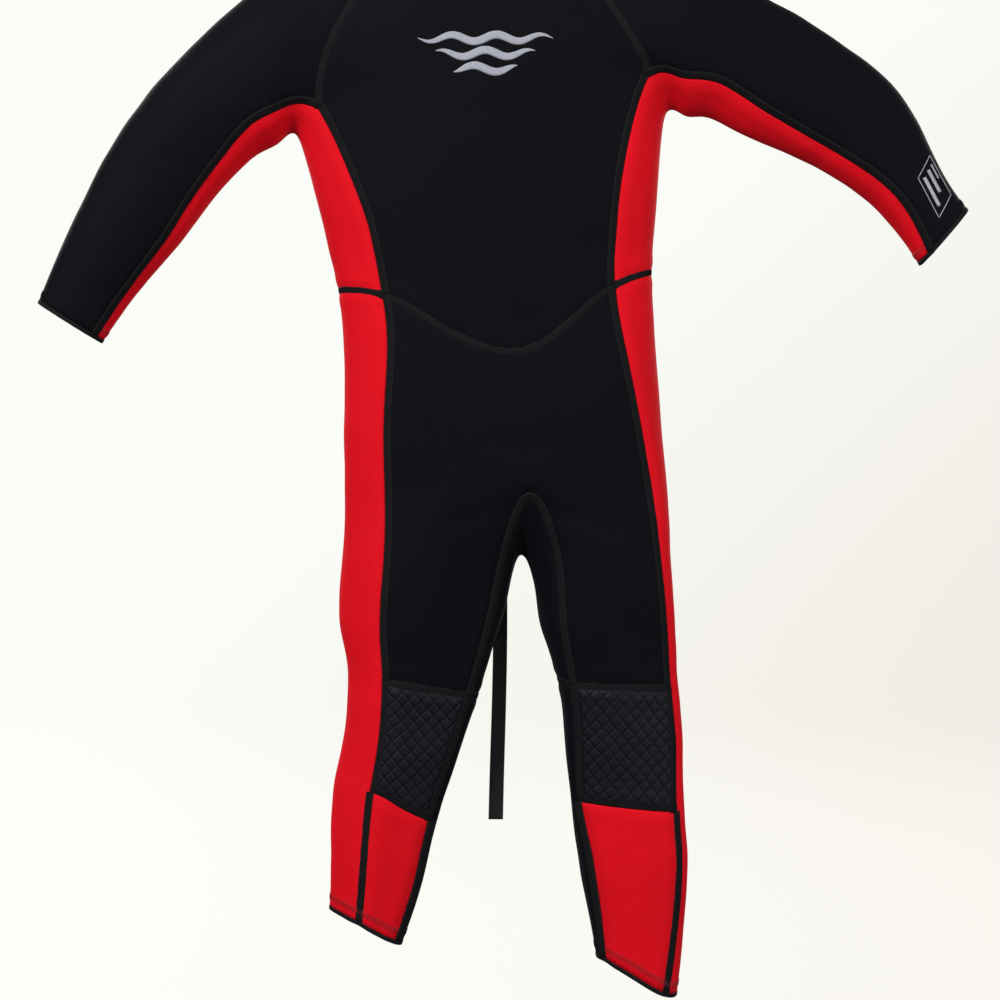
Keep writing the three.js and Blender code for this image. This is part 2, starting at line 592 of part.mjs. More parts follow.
// The collar's tab closes over the top of the zip: hook pad inside it, loop pad on the collar.
const tabFrame = new THREE.Group()
tabFrame.position.set(centreX(30), BACK, 30)
tabFrame.rotation.y = -Math.atan(LEAN)
suit.add(tabFrame)
block('collar_loop_pad', [-26, 0.3, -11], [-4, 1, 11], hooks, tabFrame)
block('collar_hook_pad', [-26, 1.4, -11], [-4, 2.2, 11], hooks, tabFrame)
block('collar_tab', [-30, 2.5, -13], [26, 4.1, 13], black, tabFrame)

export default suit
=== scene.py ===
import math
import bmesh
import bpy
import numpy as np
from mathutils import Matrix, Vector, noise
from mathutils.bvhtree import BVHTree
from mathutils.kdtree import KDTree


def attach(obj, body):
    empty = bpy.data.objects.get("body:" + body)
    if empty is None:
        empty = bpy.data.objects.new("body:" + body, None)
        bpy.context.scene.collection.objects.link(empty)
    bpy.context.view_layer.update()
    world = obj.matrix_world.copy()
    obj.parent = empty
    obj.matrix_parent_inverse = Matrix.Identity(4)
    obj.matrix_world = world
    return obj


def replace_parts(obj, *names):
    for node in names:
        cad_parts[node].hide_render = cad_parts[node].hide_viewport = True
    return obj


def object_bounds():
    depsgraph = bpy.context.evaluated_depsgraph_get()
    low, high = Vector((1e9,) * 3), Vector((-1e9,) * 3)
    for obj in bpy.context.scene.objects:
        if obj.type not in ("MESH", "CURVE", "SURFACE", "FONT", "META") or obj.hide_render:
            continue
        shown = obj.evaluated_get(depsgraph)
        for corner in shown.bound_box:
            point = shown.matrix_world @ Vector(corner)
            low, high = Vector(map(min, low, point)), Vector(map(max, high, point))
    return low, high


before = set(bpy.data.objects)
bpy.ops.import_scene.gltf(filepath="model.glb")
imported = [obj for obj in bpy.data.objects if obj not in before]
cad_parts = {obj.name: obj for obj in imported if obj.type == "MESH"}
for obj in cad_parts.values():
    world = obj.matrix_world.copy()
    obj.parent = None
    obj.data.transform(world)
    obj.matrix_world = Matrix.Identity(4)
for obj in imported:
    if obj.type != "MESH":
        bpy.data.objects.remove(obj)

cad_low, cad_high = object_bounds()
MM = 0.001

# ---- Room: a pale round cove with a floor, a large key light, fills and the camera.
# The suit hangs in the air, so the floor lies a hand's span below the longer leg.
def in_scene(name, data):
    """A new object of a mesh, curve, lamp or camera, linked to the scene."""
    made = bpy.data.objects.new(name, data)
    bpy.context.scene.collection.objects.link(made)
    return made


SUIT_MIDDLE = Vector((0.0144, 0.0, -0.456))
CAMERA_DISTANCE = 1.62
VIEW_WIDTH = 0.8
FLOOR_BELOW = 0.18
FLOOR_HEIGHT = cad_low.z - FLOOR_BELOW
COVE_RADIUS = 5.0
COVE_BEND = 1.4
COVE_TOP = 3.2
cove_points, cove_faces = [(0.0, 0.0, FLOOR_HEIGHT)], []
cove_profile = [(COVE_RADIUS - COVE_BEND, FLOOR_HEIGHT)]
for bend in np.linspace(0.1, math.pi / 2, 14):
    cove_profile.append((COVE_RADIUS - COVE_BEND + COVE_BEND * math.sin(bend),
                         FLOOR_HEIGHT + COVE_BEND * (1 - math.cos(bend))))
cove_profile.append((COVE_RADIUS, COVE_TOP))
COVE_SIDES = 96
for radius, height in cove_profile:
    for turn in np.linspace(0, 2 * math.pi, COVE_SIDES, endpoint=False):
        cove_points.append((radius * math.cos(turn), radius * math.sin(turn), height))
for side in range(COVE_SIDES):
    nxt = (side + 1) % COVE_SIDES
    cove_faces.append((0, 1 + side, 1 + nxt))
    for row in range(len(cove_profile) - 1):
        low, high = 1 + row * COVE_SIDES, 1 + (row + 1) * COVE_SIDES
        cove_faces.append((low + side, high + side, high + nxt, low + nxt))
cove_mesh = bpy.data.meshes.new("cove")
cove_mesh.from_pydata(cove_points, [], cove_faces)
cove_mesh.shade_smooth()
cove = in_scene("cove", cove_mesh)
backdrop_glow = bpy.data.materials.new("backdrop_glow")
backdrop_glow.use_nodes = True
glow_nodes, glow_links = backdrop_glow.node_tree.nodes, backdrop_glow.node_tree.links
wall_place = glow_nodes.new("ShaderNodeTexCoord")
# The backdrop glows instead of being lit; painted shade makes its glow darker and warmer towards the lower
# right and the floor.
wall_shade_share = glow_nodes.new("ShaderNodeVectorMath")
wall_shade_share.operation = "DOT_PRODUCT"
wall_shade_share.inputs[1].default_value = (0.30, 0.0, -0.34)
wall_painted_shade = glow_nodes.new("ShaderNodeMix")
wall_painted_shade.data_type = "RGBA"
wall_painted_shade.inputs["A"].default_value = (0.98, 1.0, 0.95, 1)
wall_painted_shade.inputs["B"].default_value = (0.86, 0.80, 0.74, 1)
glow_links.new(wall_place.outputs["Object"], wall_shade_share.inputs[0])
glow_links.new(wall_shade_share.outputs["Value"], wall_painted_shade.inputs["Factor"])
wall_surface = glow_nodes["Principled BSDF"]
glow_links.new(wall_painted_shade.outputs["Result"], wall_surface.inputs["Emission Color"])
wall_surface.inputs["Base Color"].default_value = (0.02, 0.02, 0.02, 1)
wall_surface.inputs["Roughness"].default_value = 0.9
wall_surface.inputs["Emission Strength"].default_value = 0.96
cove_mesh.materials.append(backdrop_glow)
cove.visible_diffuse = False
cove.visible_glossy = False

lights = {  # place, size and power of each soft light
    "key": ((-1.5, -2.1, 1.3), 1.0, 88),
    "fill": ((1.9, -2.0, 0.3), 1.7, 38),
    "back_left": ((-1.8, 2.2, 0.9), 1.3, 46),
    "back_right": ((1.8, 2.2, 0.6), 1.3, 34),
}
for name, (place, size, power) in lights.items():
    lamp = bpy.data.lights.new(name, "AREA")
    lamp.size = size
    lamp.energy = power
    holder = in_scene(name, lamp)
    holder.location = place
    holder.rotation_euler = (SUIT_MIDDLE - Vector(place)).to_track_quat("-Z", "Y").to_euler()
world = bpy.data.worlds.new("room_light")
bpy.context.scene.world = world
world.use_nodes = True
world.node_tree.nodes["Background"].inputs["Color"].default_value = (0.95, 0.97, 1.0, 1)
world.node_tree.nodes["Background"].inputs["Strength"].default_value = 0.22

camera_data = bpy.data.cameras.new("camera")
camera_data.sensor_width = 36
camera_data.lens = camera_data.sensor_width * CAMERA_DISTANCE / VIEW_WIDTH
camera = in_scene("camera", camera_data)
camera.location = SUIT_MIDDLE + Vector((0, -CAMERA_DISTANCE, 0))
camera.rotation_euler = (math.pi / 2, 0, 0)
bpy.context.scene.camera = camera
bpy.context.scene.view_settings.view_transform = "Standard"


def object_from(name, points, faces, material, body, slot, smooth=True):
    """A mesh piece in metres with its material, that rides on a body; the slot is not used."""
    mesh = bpy.data.meshes.new(name)
    mesh.from_pydata([tuple(p) for p in points], [], [tuple(int(i) for i in f) for f in faces])
    mesh.materials.append(material)
    if smooth:
        mesh.shade_smooth()
    mesh.update()
    piece = in_scene(name, mesh)
    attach(piece, body)
    return piece


# ---- Pull strap: 12 mm woven polyester webbing, cut hot at its end.
# It hangs from the zip's tab down the back and behind the legs, so a wearer can zip up alone.
def new_material(name, colour, roughness):
    material = bpy.data.materials.new(name)
    material.use_nodes = True
    shader = material.node_tree.nodes["Principled BSDF"]
    shader.inputs["Base Color"].default_value = (*colour, 1)
    shader.inputs["Roughness"].default_value = roughness
    return material, material.node_tree, shader


def node(tree, kind, **settings):
    made = tree.nodes.new(kind)
    for key, value in settings.items():
        setattr(made, key, value)
    return made


def maths(tree, operation, first, second=None):
    """A Math node; each input is a socket or a number."""
    made = node(tree, "ShaderNodeMath", operation=operation)
    for place, value in enumerate((first, second)):
        if value is None:
            continue
        if isinstance(value, (int, float)):
            made.inputs[place].default_value = value
        else:
            tree.links.new(value, made.inputs[place])
    return made.outputs[0]


def tinted(tree, shader, share, dark, pale):
    """The base colour goes from dark to pale with a share from 0 to 1."""
    tint = node(tree, "ShaderNodeMix", data_type="RGBA")
    tint.inputs["A"].default_value = (*dark, 1)
    tint.inputs["B"].default_value = (*pale, 1)
    tree.links.new(share, tint.inputs["Factor"])
    tree.links.new(tint.outputs["Result"], shader.inputs["Base Color"])


def embossed(tree, shader, height, strength, depth):
    """Relief too fine to be modelled, with its depth in metres."""
    bump = node(tree, "ShaderNodeBump")
    bump.inputs["Strength"].default_value = strength
    bump.inputs["Distance"].default_value = depth
    tree.links.new(height, bump.inputs["Height"])
    tree.links.new(bump.outputs["Normal"], shader.inputs["Normal"])


def weave_group():
    """Plain weave on a strip's own UV map: raised warp and weft threads that go over and under."""
    group = bpy.data.node_groups.new("webbing_weave", "ShaderNodeTree")
    group.interface.new_socket("Threads across", in_out="INPUT", socket_type="NodeSocketFloat")
    group.interface.new_socket("Threads along", in_out="INPUT", socket_type="NodeSocketFloat")
    group.interface.new_socket("Height", in_out="OUTPUT", socket_type="NodeSocketFloat")
    start, end = node(group, "NodeGroupInput"), node(group, "NodeGroupOutput")
    uv = node(group, "ShaderNodeUVMap", uv_map="weave")
    parts = node(group, "ShaderNodeSeparateXYZ")
    group.links.new(uv.outputs["UV"], parts.inputs[0])
    across = maths(group, "MULTIPLY", parts.outputs[0], start.outputs[0])
    along = maths(group, "MULTIPLY", parts.outputs[1], start.outputs[1])
    across_wave = maths(group, "ABSOLUTE", maths(group, "SINE", maths(group, "MULTIPLY", across, math.pi)))
    shifted = maths(group, "ADD", along, maths(group, "MULTIPLY", maths(group, "FLOOR", across), 0.5))
    along_wave = maths(group, "ABSOLUTE", maths(group, "SINE", maths(group, "MULTIPLY", shifted, math.pi)))
    group.links.new(maths(group, "MULTIPLY", across_wave, along_wave), end.inputs["Height"])
    return group


WEAVE = weave_group()


def woven(name, colour, roughness, threads, dark, pale, strength, depth):
    """A woven tape, its raised threads painted paler and the dips between them darker, as painted highlight and
    shade; threads is their number across its width.
    """
    material, tree, shader = new_material(name, colour, roughness)
    weave = node(tree, "ShaderNodeGroup", node_tree=WEAVE)
    weave.inputs["Threads across"].default_value = threads
    weave.inputs["Threads along"].default_value = 1
    # Painted highlight on the raised threads and painted shade between them: the colour follows the weave's
    # height.
    tinted(tree, shader, weave.outputs["Height"], dark, pale)
    embossed(tree, shader, weave.outputs["Height"], strength, depth)
    return material


webbing = woven("strap_webbing", (0.012, 0.012, 0.014), 0.72, 14,
                (0.0035, 0.0035, 0.0045), (0.012, 0.012, 0.0145), 0.7, 0.0003)

STRAP_WIDTH = 12 * MM
STRAP_THICKNESS = 1.6 * MM
THREAD_PITCH = 1.1 * MM
strap_route = [
    (-1.3, 40.1, -43.5), (0.1, 40.6, -60), (2.4, 41.4, -90), (4.6, 41.8, -130), (6.4, 42, -175),
    (8, 42, -225), (9.4, 42, -280), (10.6, 42, -335), (11.5, 42, -390), (12.1, 42, -440),
    (13.2, 42, -490), (13.7, 42, -540), (13.7, 42, -585), (13.3, 42, -630), (12.6, 42, -672),
    (11.8, 42, -718)]


def smooth_line(points, steps):
    """A Catmull-Rom line through the points, with this many steps between each two."""
    points = np.array(points, float)
    padded = np.vstack([2 * points[0] - points[1], points, 2 * points[-1] - points[-2]])
    line = []
    for i in range(1, len(padded) - 2):
        a, b, c, d = padded[i - 1:i + 3]
        for t in np.linspace(0, 1, steps, endpoint=False):
            line.append(0.5 * (2 * b + (c - a) * t + (2 * a - 5 * b + 4 * c - d) * t ** 2
                               + (3 * b - a - 3 * c + d) * t ** 3))
    line.append(points[-1])
    return np.array(line)


def strip_along(line, across, out, section):
    """Sweeps a closed section, (across, out) in metres, along a line; returns points and faces."""
    rings = [line + across * a + out * b for a, b in section]
    points = np.stack(rings, axis=1).reshape(-1, 3)
    count = len(section)
    faces = []
    for row in range(len(line) - 1):
        for i in range(count):
            j = (i + 1) % count
            faces.append((row * count + i, row * count + j, (row + 1) * count + j, (row + 1) * count + i))
    faces.append(tuple(reversed(range(count))))
    faces.append(tuple(range((len(line) - 1) * count, len(line) * count)))
    return points, faces


def flat_section(width, thickness, crown=0.12):
    """Section of a woven tape: slightly crowned faces and round selvedges."""
    half, up = width / 2, thickness / 2
    top = [(half * x, up * (1 + crown * (1 - x * x))) for x in np.linspace(0.94, -0.94, 9)]
    bottom = [(-x, -y) for x, y in top]
    return top + [(-half, 0.0)] + bottom + [(half, 0.0)]


def add_weave_uv(piece, threads_along, section, width):
    """The weave's own map on a strip: its width from 0 to 1, and threads counted along it."""
    uv_of_vertex = [(0.5 + across / width, threads) for threads in threads_along for across, _ in section]
    layer = piece.data.uv_layers.new(name="weave")
    corners = np.empty(len(piece.data.loops), np.int32)
    piece.data.loops.foreach_get("vertex_index", corners)
    layer.data.foreach_set("uv", np.asarray(uv_of_vertex, np.float32)[corners].ravel())


def turned_outwards(piece):
    """Turns a closed mesh's faces outwards."""
    work = bmesh.new()
    work.from_mesh(piece.data)
    bmesh.ops.recalc_face_normals(work, faces=work.faces)
    work.to_mesh(piece.data)
    work.free()
    return piece


strap_line = smooth_line(strap_route, 16) * MM
distance = np.r_[0, np.cumsum(np.linalg.norm(np.diff(strap_line, axis=0), axis=1))]
strap_line[:, 0] += 0.0009 * np.sin(distance * 16) * np.clip(distance * 4, 0, 1)
twist = 0.22 * np.sin(distance * 9) * np.clip(distance * 3, 0, 1)
strap_across = np.stack([np.cos(twist), np.sin(twist) * 0.4, 0 * twist], axis=1)
strap_out = np.stack([-np.sin(twist) * 0.4, np.cos(twist), 0 * twist], axis=1)
section = flat_section(STRAP_WIDTH, STRAP_THICKNESS)
points, faces = strip_along(strap_line, strap_across, strap_out, section)
pull_strap = object_from("pull_strap_webbing", points, faces, webbing, "strap", "strap_webbing")
add_weave_uv(turned_outwards(pull_strap), distance / THREAD_PITCH, section, STRAP_WIDTH)
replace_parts(pull_strap, "pull_strap")


# ---- The cut of the suit: one smooth surface that every panel is taken from.
# The stations are the pattern's: rounds of the body, sleeves and legs as [x, z] in millimetres.
BACK = 38.0
LEAN = 0.0925
NECK_CENTRE = -5.0
NEOPRENE = 2.6 * MM
SEAM_GAP = 0.15 * MM
ZIP_OPENING = 7.5 * MM
ZIP_TOP, ZIP_BOTTOM = 4.0, -306.0
cage_points, cage_faces, cage_panels = [], [], []


def centre_x(z):
    return NECK_CENTRE - LEAN * z


def station(x, y, z):
    cage_points.append((x, y, z))
    return len(cage_points) - 1


def band(upper, lower, panels, closed=True):
    for i in range(len(upper) if closed else len(upper) - 1):
        j = (i + 1) % len(upper)
        cage_faces.append((upper[i], lower[i], lower[j], upper[j]))
        cage_panels.append(panels[i])


def crown(share, half):
    return half * (1 - min(1.0, abs(share)) ** 2.5) ** 0.4


def halfway(a, b, drop=0.0):
    return ((a[0] + b[0]) / 2, (a[1] + b[1]) / 2 - drop)


def body_round(left, left_seam, centre, right_seam, right, half, back_z, drop=0.0):
    """Twelve stations: front from left to right, then back from right to left."""
    width, middle = (right[0] - left[0]) / 2, (right[0] + left[0]) / 2

    def place(p, side):
        return station(p[0], side * crown((p[0] - middle) / width, BACK if side > 0 else half), p[1])
    front = [left, left_seam, halfway(left_seam, centre, drop), centre, halfway(right_seam, centre, drop),
             right_seam, right]
    back_centre = (centre_x(back_z), back_z)
    right_back = (right_seam[0], (right_seam[1] + right[1]) / 2)
    left_back = (left_seam[0], (left_seam[1] + left[1]) / 2)
    ring = [place(p, -1) for p in front]
    ring += [place(right_back, 1), place(halfway(right_back, back_centre), 1)]
    ring.append(station(back_centre[0], BACK, back_centre[1]))
    return ring + [place(halfway(left_back, back_centre), 1), place(left_back, 1)]


armpit = body_round((-147, -165), (-129, -147), (7, -150), (131, -122), (148, -147), 38, -146)
rib = body_round((-132, -216), (-98, -214), (13, -220), (111, -198), (142, -192), 38, -206)
belly = body_round((-123, -254), (-86, -253), (19, -284), (106, -248), (138, -236), 37, -262, 6)
waist = body_round((-115, -289), (-78, -295), (26, -340), (105, -287), (136, -274), 36, -318, 6)
hip = body_round((-110, -332), (-74, -336), (29, -380), (114, -340), (138, -332), 38, -362, 3)
seat = body_round((-110, -392), (-77, -396), (33, -416), (126, -396), (144, -392), 38, -414)
fork = body_round((-110, -452), (-76, -454), (37, -450), (136, -456), (148, -456), 36, -468)

raglan_front_left = [(-124, -30, -112), (-108, -31, -74), (-63, -21, -19)]
raglan_front_right = [(124, -30, -102), (102, -31, -67), (53, -21, -14)]
chest_middle = [[(-66, -37, -105), (3, -38, -106), (70, -37, -100)],
                [(-56, -36, -67), (0, -37, -66), (55, -36, -61)],
                [(-36, -30, -33), (-4, -33, -38), (29, -30, -30)]]
raglan_back_left = [(-124, 30, -110), (-108, 33, -66), (-62, 24, 6)]
raglan_back_right = [(124, 30, -98), (102, 33, -58), (52, 24, 11)]
side_neck_left, side_neck_right = station(-69, 2, 2), station(60, 2, 8)


def beside_zip(seam_depth):
    return min(BACK - 0.7, (BACK + seam_depth) / 2 + 6)


front_rounds = [[station(*p) for p in [left, *middle, right]]
                for left, middle, right in zip(raglan_front_left, chest_middle, raglan_front_right)]
back_rounds = []
for left, right, z in zip(raglan_back_left, raglan_back_right, (-104, -58, 10)):
    x = centre_x(z)
    back_rounds.append([station(*right),
                        station((x + right[0]) / 2, beside_zip(right[1]), (z + right[2]) / 2),
                        station(x, BACK, z),
                        station((x + left[0]) / 2, beside_zip(left[1]), (z + left[2]) / 2),
                        station(*left)])

chest = ["front_chest_panel"] * 4
upper_back = ["back_panel_right"] * 2 + ["back_panel_left"] * 2
front_below, back_below = armpit[1:6], armpit[7:12]
for front_round, back_round in zip(front_rounds, back_rounds):
    band(front_round, front_below, chest, closed=False)
    band(back_round, back_below, upper_back, closed=False)
    front_below, back_below = front_round, back_round
upper_body = ["side_panel_upper_left", *chest, "side_panel_upper_right", "side_panel_upper_right",
              *upper_back, "side_panel_upper_left"]
lower_body = ["side_panel_lower_left", *["front_lower_panel"] * 4, "side_panel_lower_right",
              "side_panel_lower_right", *["seat_panel"] * 4, "side_panel_lower_left"]
body_rounds = [armpit, rib, belly, waist, hip, seat, fork]
for upper, lower, panels in zip(body_rounds, body_rounds[1:], [upper_body] * 3 + [lower_body] * 3):
    band(upper, lower, panels)

# Sleeve rounds: outer edge, underarm, share of the way taken by the red underarm panel, half depth.
left_arm = [((-150, -30), (-161, -169), 0.15, 34), ((-208, -70), (-176, -178), 0.17, 31),
            ((-258, -120), (-196, -194), 0.13, 28), ((-293, -168), (-222, -224), 0.11, 25),
            ((-316, -210), (-245, -254), 0.085, 23), ((-336, -253), (-274, -287), 0.065, 20),
            ((-354, -296), (-303, -328), 0.06, 17)]
right_arm = [((136, -10), (162, -149), 0.18, 34), ((202, -42), (178, -150), 0.22, 31),
             ((254, -70), (202, -160), 0.2, 28), ((306, -104), (242, -178), 0.17, 25),
             ((341, -142), (281, -198), 0.18, 23), ((365, -189), (318, -226), 0.24, 20),
             ((387, -222), (349, -266), 0.14, 17)]


def arm_round(outer, under, seam, half, direction):
    seam_angle = math.acos(2 * seam - 1)
    ring = []
    for angle in [share * seam_angle for share in np.linspace(1, -1, 9)] + [math.pi]:
        reach = (1 + math.cos(angle)) / 2
        ring.append(station(under[0] + (outer[0] - under[0]) * reach, -half * math.sin(angle),
                            under[1] + (outer[1] - under[1]) * reach))
    return ring if direction > 0 else [ring[0], *ring[:0:-1]]


def sleeve(armhole, stations, direction, side):
    panels = ["sleeve_" + side] * 8 + ["side_panel_upper_" + side] * 2
    panels = panels if direction > 0 else panels[::-1]
    for outer, under, seam, half in stations:
        lower = arm_round(outer, under, seam, half, direction)
        band(armhole, lower, panels)
        armhole = lower
    return armhole


armhole_right = [armpit[5], *[r[4] for r in front_rounds], side_neck_right,
                 *[r[0] for r in back_rounds][::-1], armpit[7], armpit[6]]
armhole_left = [armpit[1], *[r[0] for r in front_rounds], side_neck_left,
                *[r[4] for r in back_rounds][::-1], armpit[11], armpit[0]]
wrist_left = sleeve([armhole_left[0], *armhole_left[:0:-1]], left_arm, -1, "left")
wrist_right = sleeve(armhole_right, right_arm, 1, "right")

# Leg rounds: outer side, front seam, front edge of the inner panel, inner side, half depth.
left_leg = [((-112, -504), (-77, -506), (13, -522), (20, -538), 33),
            ((-114, -552), (-80, -557), (2, -566), (8, -572), 31),
            ((-108, -590), (-78, -598), (-10, -611), (-3, -612), 28),
            ((-110, -644), (-82, -649), (-23, -651), (-16, -652), 27),
            ((-118, -682), (-88, -686), (-42, -710), (-36, -712), 25),
            ((-121, -732), (-93, -737), (-53.5, -760), (-48, -762), 22),
            ((-122, -780), (-97.5, -790), (-68.5, -806), (-63.5, -808), 18)]
right_leg = [((151, -506), (142, -504), (60, -504), (41, -522), 33),
             ((154, -554), (147, -552), (64, -552), (47, -556), 31),
             ((156, -605), (150, -605), (72, -602), (60, -599), 28),
             ((159, -652), (154, -652), (76, -648), (66, -648), 27),
             ((162, -703), (155, -703), (78, -695), (71, -694), 26),
             ((164, -764), (156.5, -760), (89, -746), (78, -746), 24),
             ((156, -848), (146, -847), (98, -820), (91, -818), 19)]
fork_middle = station(30, 0, -501)
KNEE_TOP, KNEE_BOTTOM = 2, 4


def leg_round(outer, seam, strip, inner, half):
    width, middle = (inner[0] - outer[0]) / 2, (inner[0] + outer[0]) / 2

    def place(p, side):
        return station(p[0], side * crown((p[0] - middle) / width, half), p[1])
    front = [seam, halfway(seam, strip), strip]
    ring = [place(p, -1) for p in (outer, *front, inner)]
    return ring + [place(p, 1) for p in front[::-1]]


def leg(upper, stations, direction, side):
    for row, (outer, seam, strip, inner, half) in enumerate(stations):
        lower = leg_round(outer, seam, strip, inner, half)
        below = row > KNEE_TOP
        front = ("shin_panel_" if row > KNEE_BOTTOM else "knee_pad_") + side if below else "front_lower_panel"
        inside = "inner_calf_panel_" + side if below else "inseam_gusset"
        back = "calf_panel_" + side if below else "seat_panel"
        outside = "side_panel_lower_" + side
        panels = [outside, front, front, inside, inside, back, back, outside]
        if direction > 0:
            lower, panels = [lower[0], *lower[:0:-1]], panels[::-1]
        band(upper, lower, panels)
        upper = lower
    return upper


ankle_left = leg([*fork[0:4], fork_middle, *fork[9:12]], left_leg, -1, "left")
ankle_right = leg([*fork[6:10], fork_middle, *fork[3:6]], right_leg, 1, "right")
neckline = [*front_rounds[2], side_neck_right, *back_rounds[2], side_neck_left]


def edges_of(faces):
    """Each edge once, the edge index of each face side, and how many faces each edge has."""
    sides = np.stack([faces, np.roll(faces, -1, axis=1)], axis=2).reshape(-1, 2)
    edges, index, uses = np.unique(np.sort(sides, axis=1), axis=0, return_inverse=True, return_counts=True)
    return edges, index.reshape(faces.shape), uses


def scatter(count, index, values):
    total = np.zeros((count, values.shape[1]))
    np.add.at(total, index, values)
    return total


def limit_points(points, faces):
    """Where each point of a four-sided net lies on its smooth limit surface."""
    edges, _, uses = edges_of(faces)
    n = len(points)
    near = scatter(n, edges[:, 0], points[edges[:, 1]]) + scatter(n, edges[:, 1], points[edges[:, 0]])
    valence = np.bincount(edges.ravel(), minlength=n)[:, None]
    across = scatter(n, faces.ravel(), points[np.roll(faces, 2, axis=1).ravel()])
    rim = edges[uses == 1]
    near_rim = scatter(n, rim[:, 0], points[rim[:, 1]]) + scatter(n, rim[:, 1], points[rim[:, 0]])
    on_rim = np.bincount(rim.ravel(), minlength=n)[:, None] > 0
    inner = (valence ** 2 * points + 4 * near + across) / (valence * (valence + 5))
    return np.where(valence == 2, points, np.where(on_rim, (4 * points + near_rim) / 6, inner))


def subdivide(points, faces):
    """One round of Catmull-Clark; the old points come first in the new list."""
    edges, index, uses = edges_of(faces)
    n = len(points)
    centres = points[faces].mean(axis=1)
    middles = points[edges].mean(axis=1)
    beside = scatter(len(edges), index.ravel(), np.repeat(centres, 4, axis=0))
    edge_points = np.where(uses[:, None] == 1, middles, (2 * middles + beside) / 4)
    valence = np.bincount(edges.ravel(), minlength=n)[:, None]
    face_mean = scatter(n, faces.ravel(), np.repeat(centres, 4, axis=0)) / valence
    edge_mean = (scatter(n, edges[:, 0], middles) + scatter(n, edges[:, 1], middles)) / valence
    rim = edges[uses == 1]
    rim_middles = points[rim].mean(axis=1)
    rim_mean = (scatter(n, rim[:, 0], rim_middles) + scatter(n, rim[:, 1], rim_middles)) / 2
    on_rim = np.bincount(rim.ravel(), minlength=n)[:, None] > 0
    inner = (face_mean + 2 * edge_mean + (valence - 3) * points) / valence
    moved = np.where(valence == 2, points, np.where(on_rim, (points + rim_mean) / 2, inner))
    face_index = n + len(edges) + np.arange(len(faces))
    quads = np.stack([np.stack([faces[:, i], n + index[:, i], face_index, n + index[:, i - 1]], axis=1)
                      for i in range(4)], axis=1).reshape(-1, 4)
    return np.vstack([moved, edge_points, centres]), quads


def smooth_surface(points, faces, levels, rounds=8):
    """Fits the net so that its limit passes by its stations, then lays a fine net on the limit."""
    goal = points.copy()
    for _ in range(rounds):
        points = points + goal - limit_points(points, faces)
    for _ in range(levels):
        points, faces = subdivide(points, faces)
    return limit_points(points, faces), faces


def normals_of(points, faces):
    a, b, c, d = (points[faces[:, i]] for i in range(4))
    normals = scatter(len(points), faces.ravel(), np.repeat(np.cross(c - a, d - b), 4, axis=0))
    return normals / np.maximum(np.linalg.norm(normals, axis=1, keepdims=True), 1e-12)


LEVELS = 4
suit_points, suit_faces = smooth_surface(np.array(cage_points, float) * MM, np.array(cage_faces), LEVELS)
panel_of_face = np.repeat(np.array(cage_panels), 4 ** LEVELS)
suit_normals = normals_of(suit_points, suit_faces)

# Folds: the foam buckles a little where the cloth is slack, and tucks in along every seam.
# Each crease is a line from a to b with a width and a depth in millimetres.
creases = [
    ((-158, -38, -158), (-118, -42, -128), 7, 2.2), ((-168, -38, -168), (-140, -42, -186), 8, 1.6),
    ((152, -40, -140), (122, -44, -108), 8, 2.4), ((160, -38, -150), (128, -42, -160), 9, 1.6),
    ((196, -30, -156), (186, -40, -118), 6, 1.5), ((212, -30, -163), (222, -36, -132), 6, 1.2),
    ((-216, -30, -206), (-262, -34, -176), 9, 1.1), ((-232, -30, -232), (-272, -32, -214), 8, 0.9),
    ((262, -28, -186), (286, -34, -138), 9, 1.1), ((-158, 38, -158), (-116, 42, -126), 8, 2.2),
    ((152, 40, -140), (122, 44, -106), 8, 2.2), ((26, -36, -462), (-34, -38, -476), 10, 1.3),
    ((44, -36, -462), (98, -40, -478), 10, 1.3), ((34, 36, -474), (-40, 40, -500), 11, 1.6),
    ((38, 36, -474), (110, 40, -496), 11, 1.6), ((-96, 30, -646), (-34, 30, -654), 9, 1.5),
    ((84, 30, -646), (146, 30, -652), 9, 1.5), ((-92, 28, -668), (-42, 28, -678), 8, 1.1),
    ((-112, -36, -306), (-70, -40, -318), 9, 0.9), ((138, -36, -292), (104, -40, -300), 9, 0.9)]
crease_depth = np.zeros(len(suit_points))
for a, b, width, depth in creases:
    a, b = np.array(a, float) * MM, np.array(b, float) * MM
    along = np.clip((suit_points - a) @ (b - a) / ((b - a) @ (b - a)), 0, 1)
    away = np.linalg.norm(suit_points - (a + along[:, None] * (b - a)), axis=1) / (width * MM)
    fade = np.clip(1 - np.abs(2 * along - 1) ** 4, 0, 1)
    crease_depth += depth * MM * fade * ((1 - away ** 2) * np.exp(-away ** 2 * 0.9))


def low_noise(points, scale, seed):
    shift = Vector((seed * 7.3, seed * 3.1, seed * 5.7))
    return np.array([noise.noise(Vector(p) * scale + shift) for p in points])


def distance_to(points, targets):
    """How far each point is from the nearest of the targets."""
    tree = KDTree(len(targets))
    for i, target in enumerate(targets):
        tree.insert(target, i)
    tree.balance()
    return np.array([tree.find(p)[2] for p in points])


def across_zip(points):
    """How far each point lies to the right of the zip's line, in metres."""
    return points[:, 0] - centre_x(points[:, 2] / MM) * MM


bag = 1.5 * MM * low_noise(suit_points, 13, 1) + 0.5 * MM * low_noise(suit_points, 42, 2)

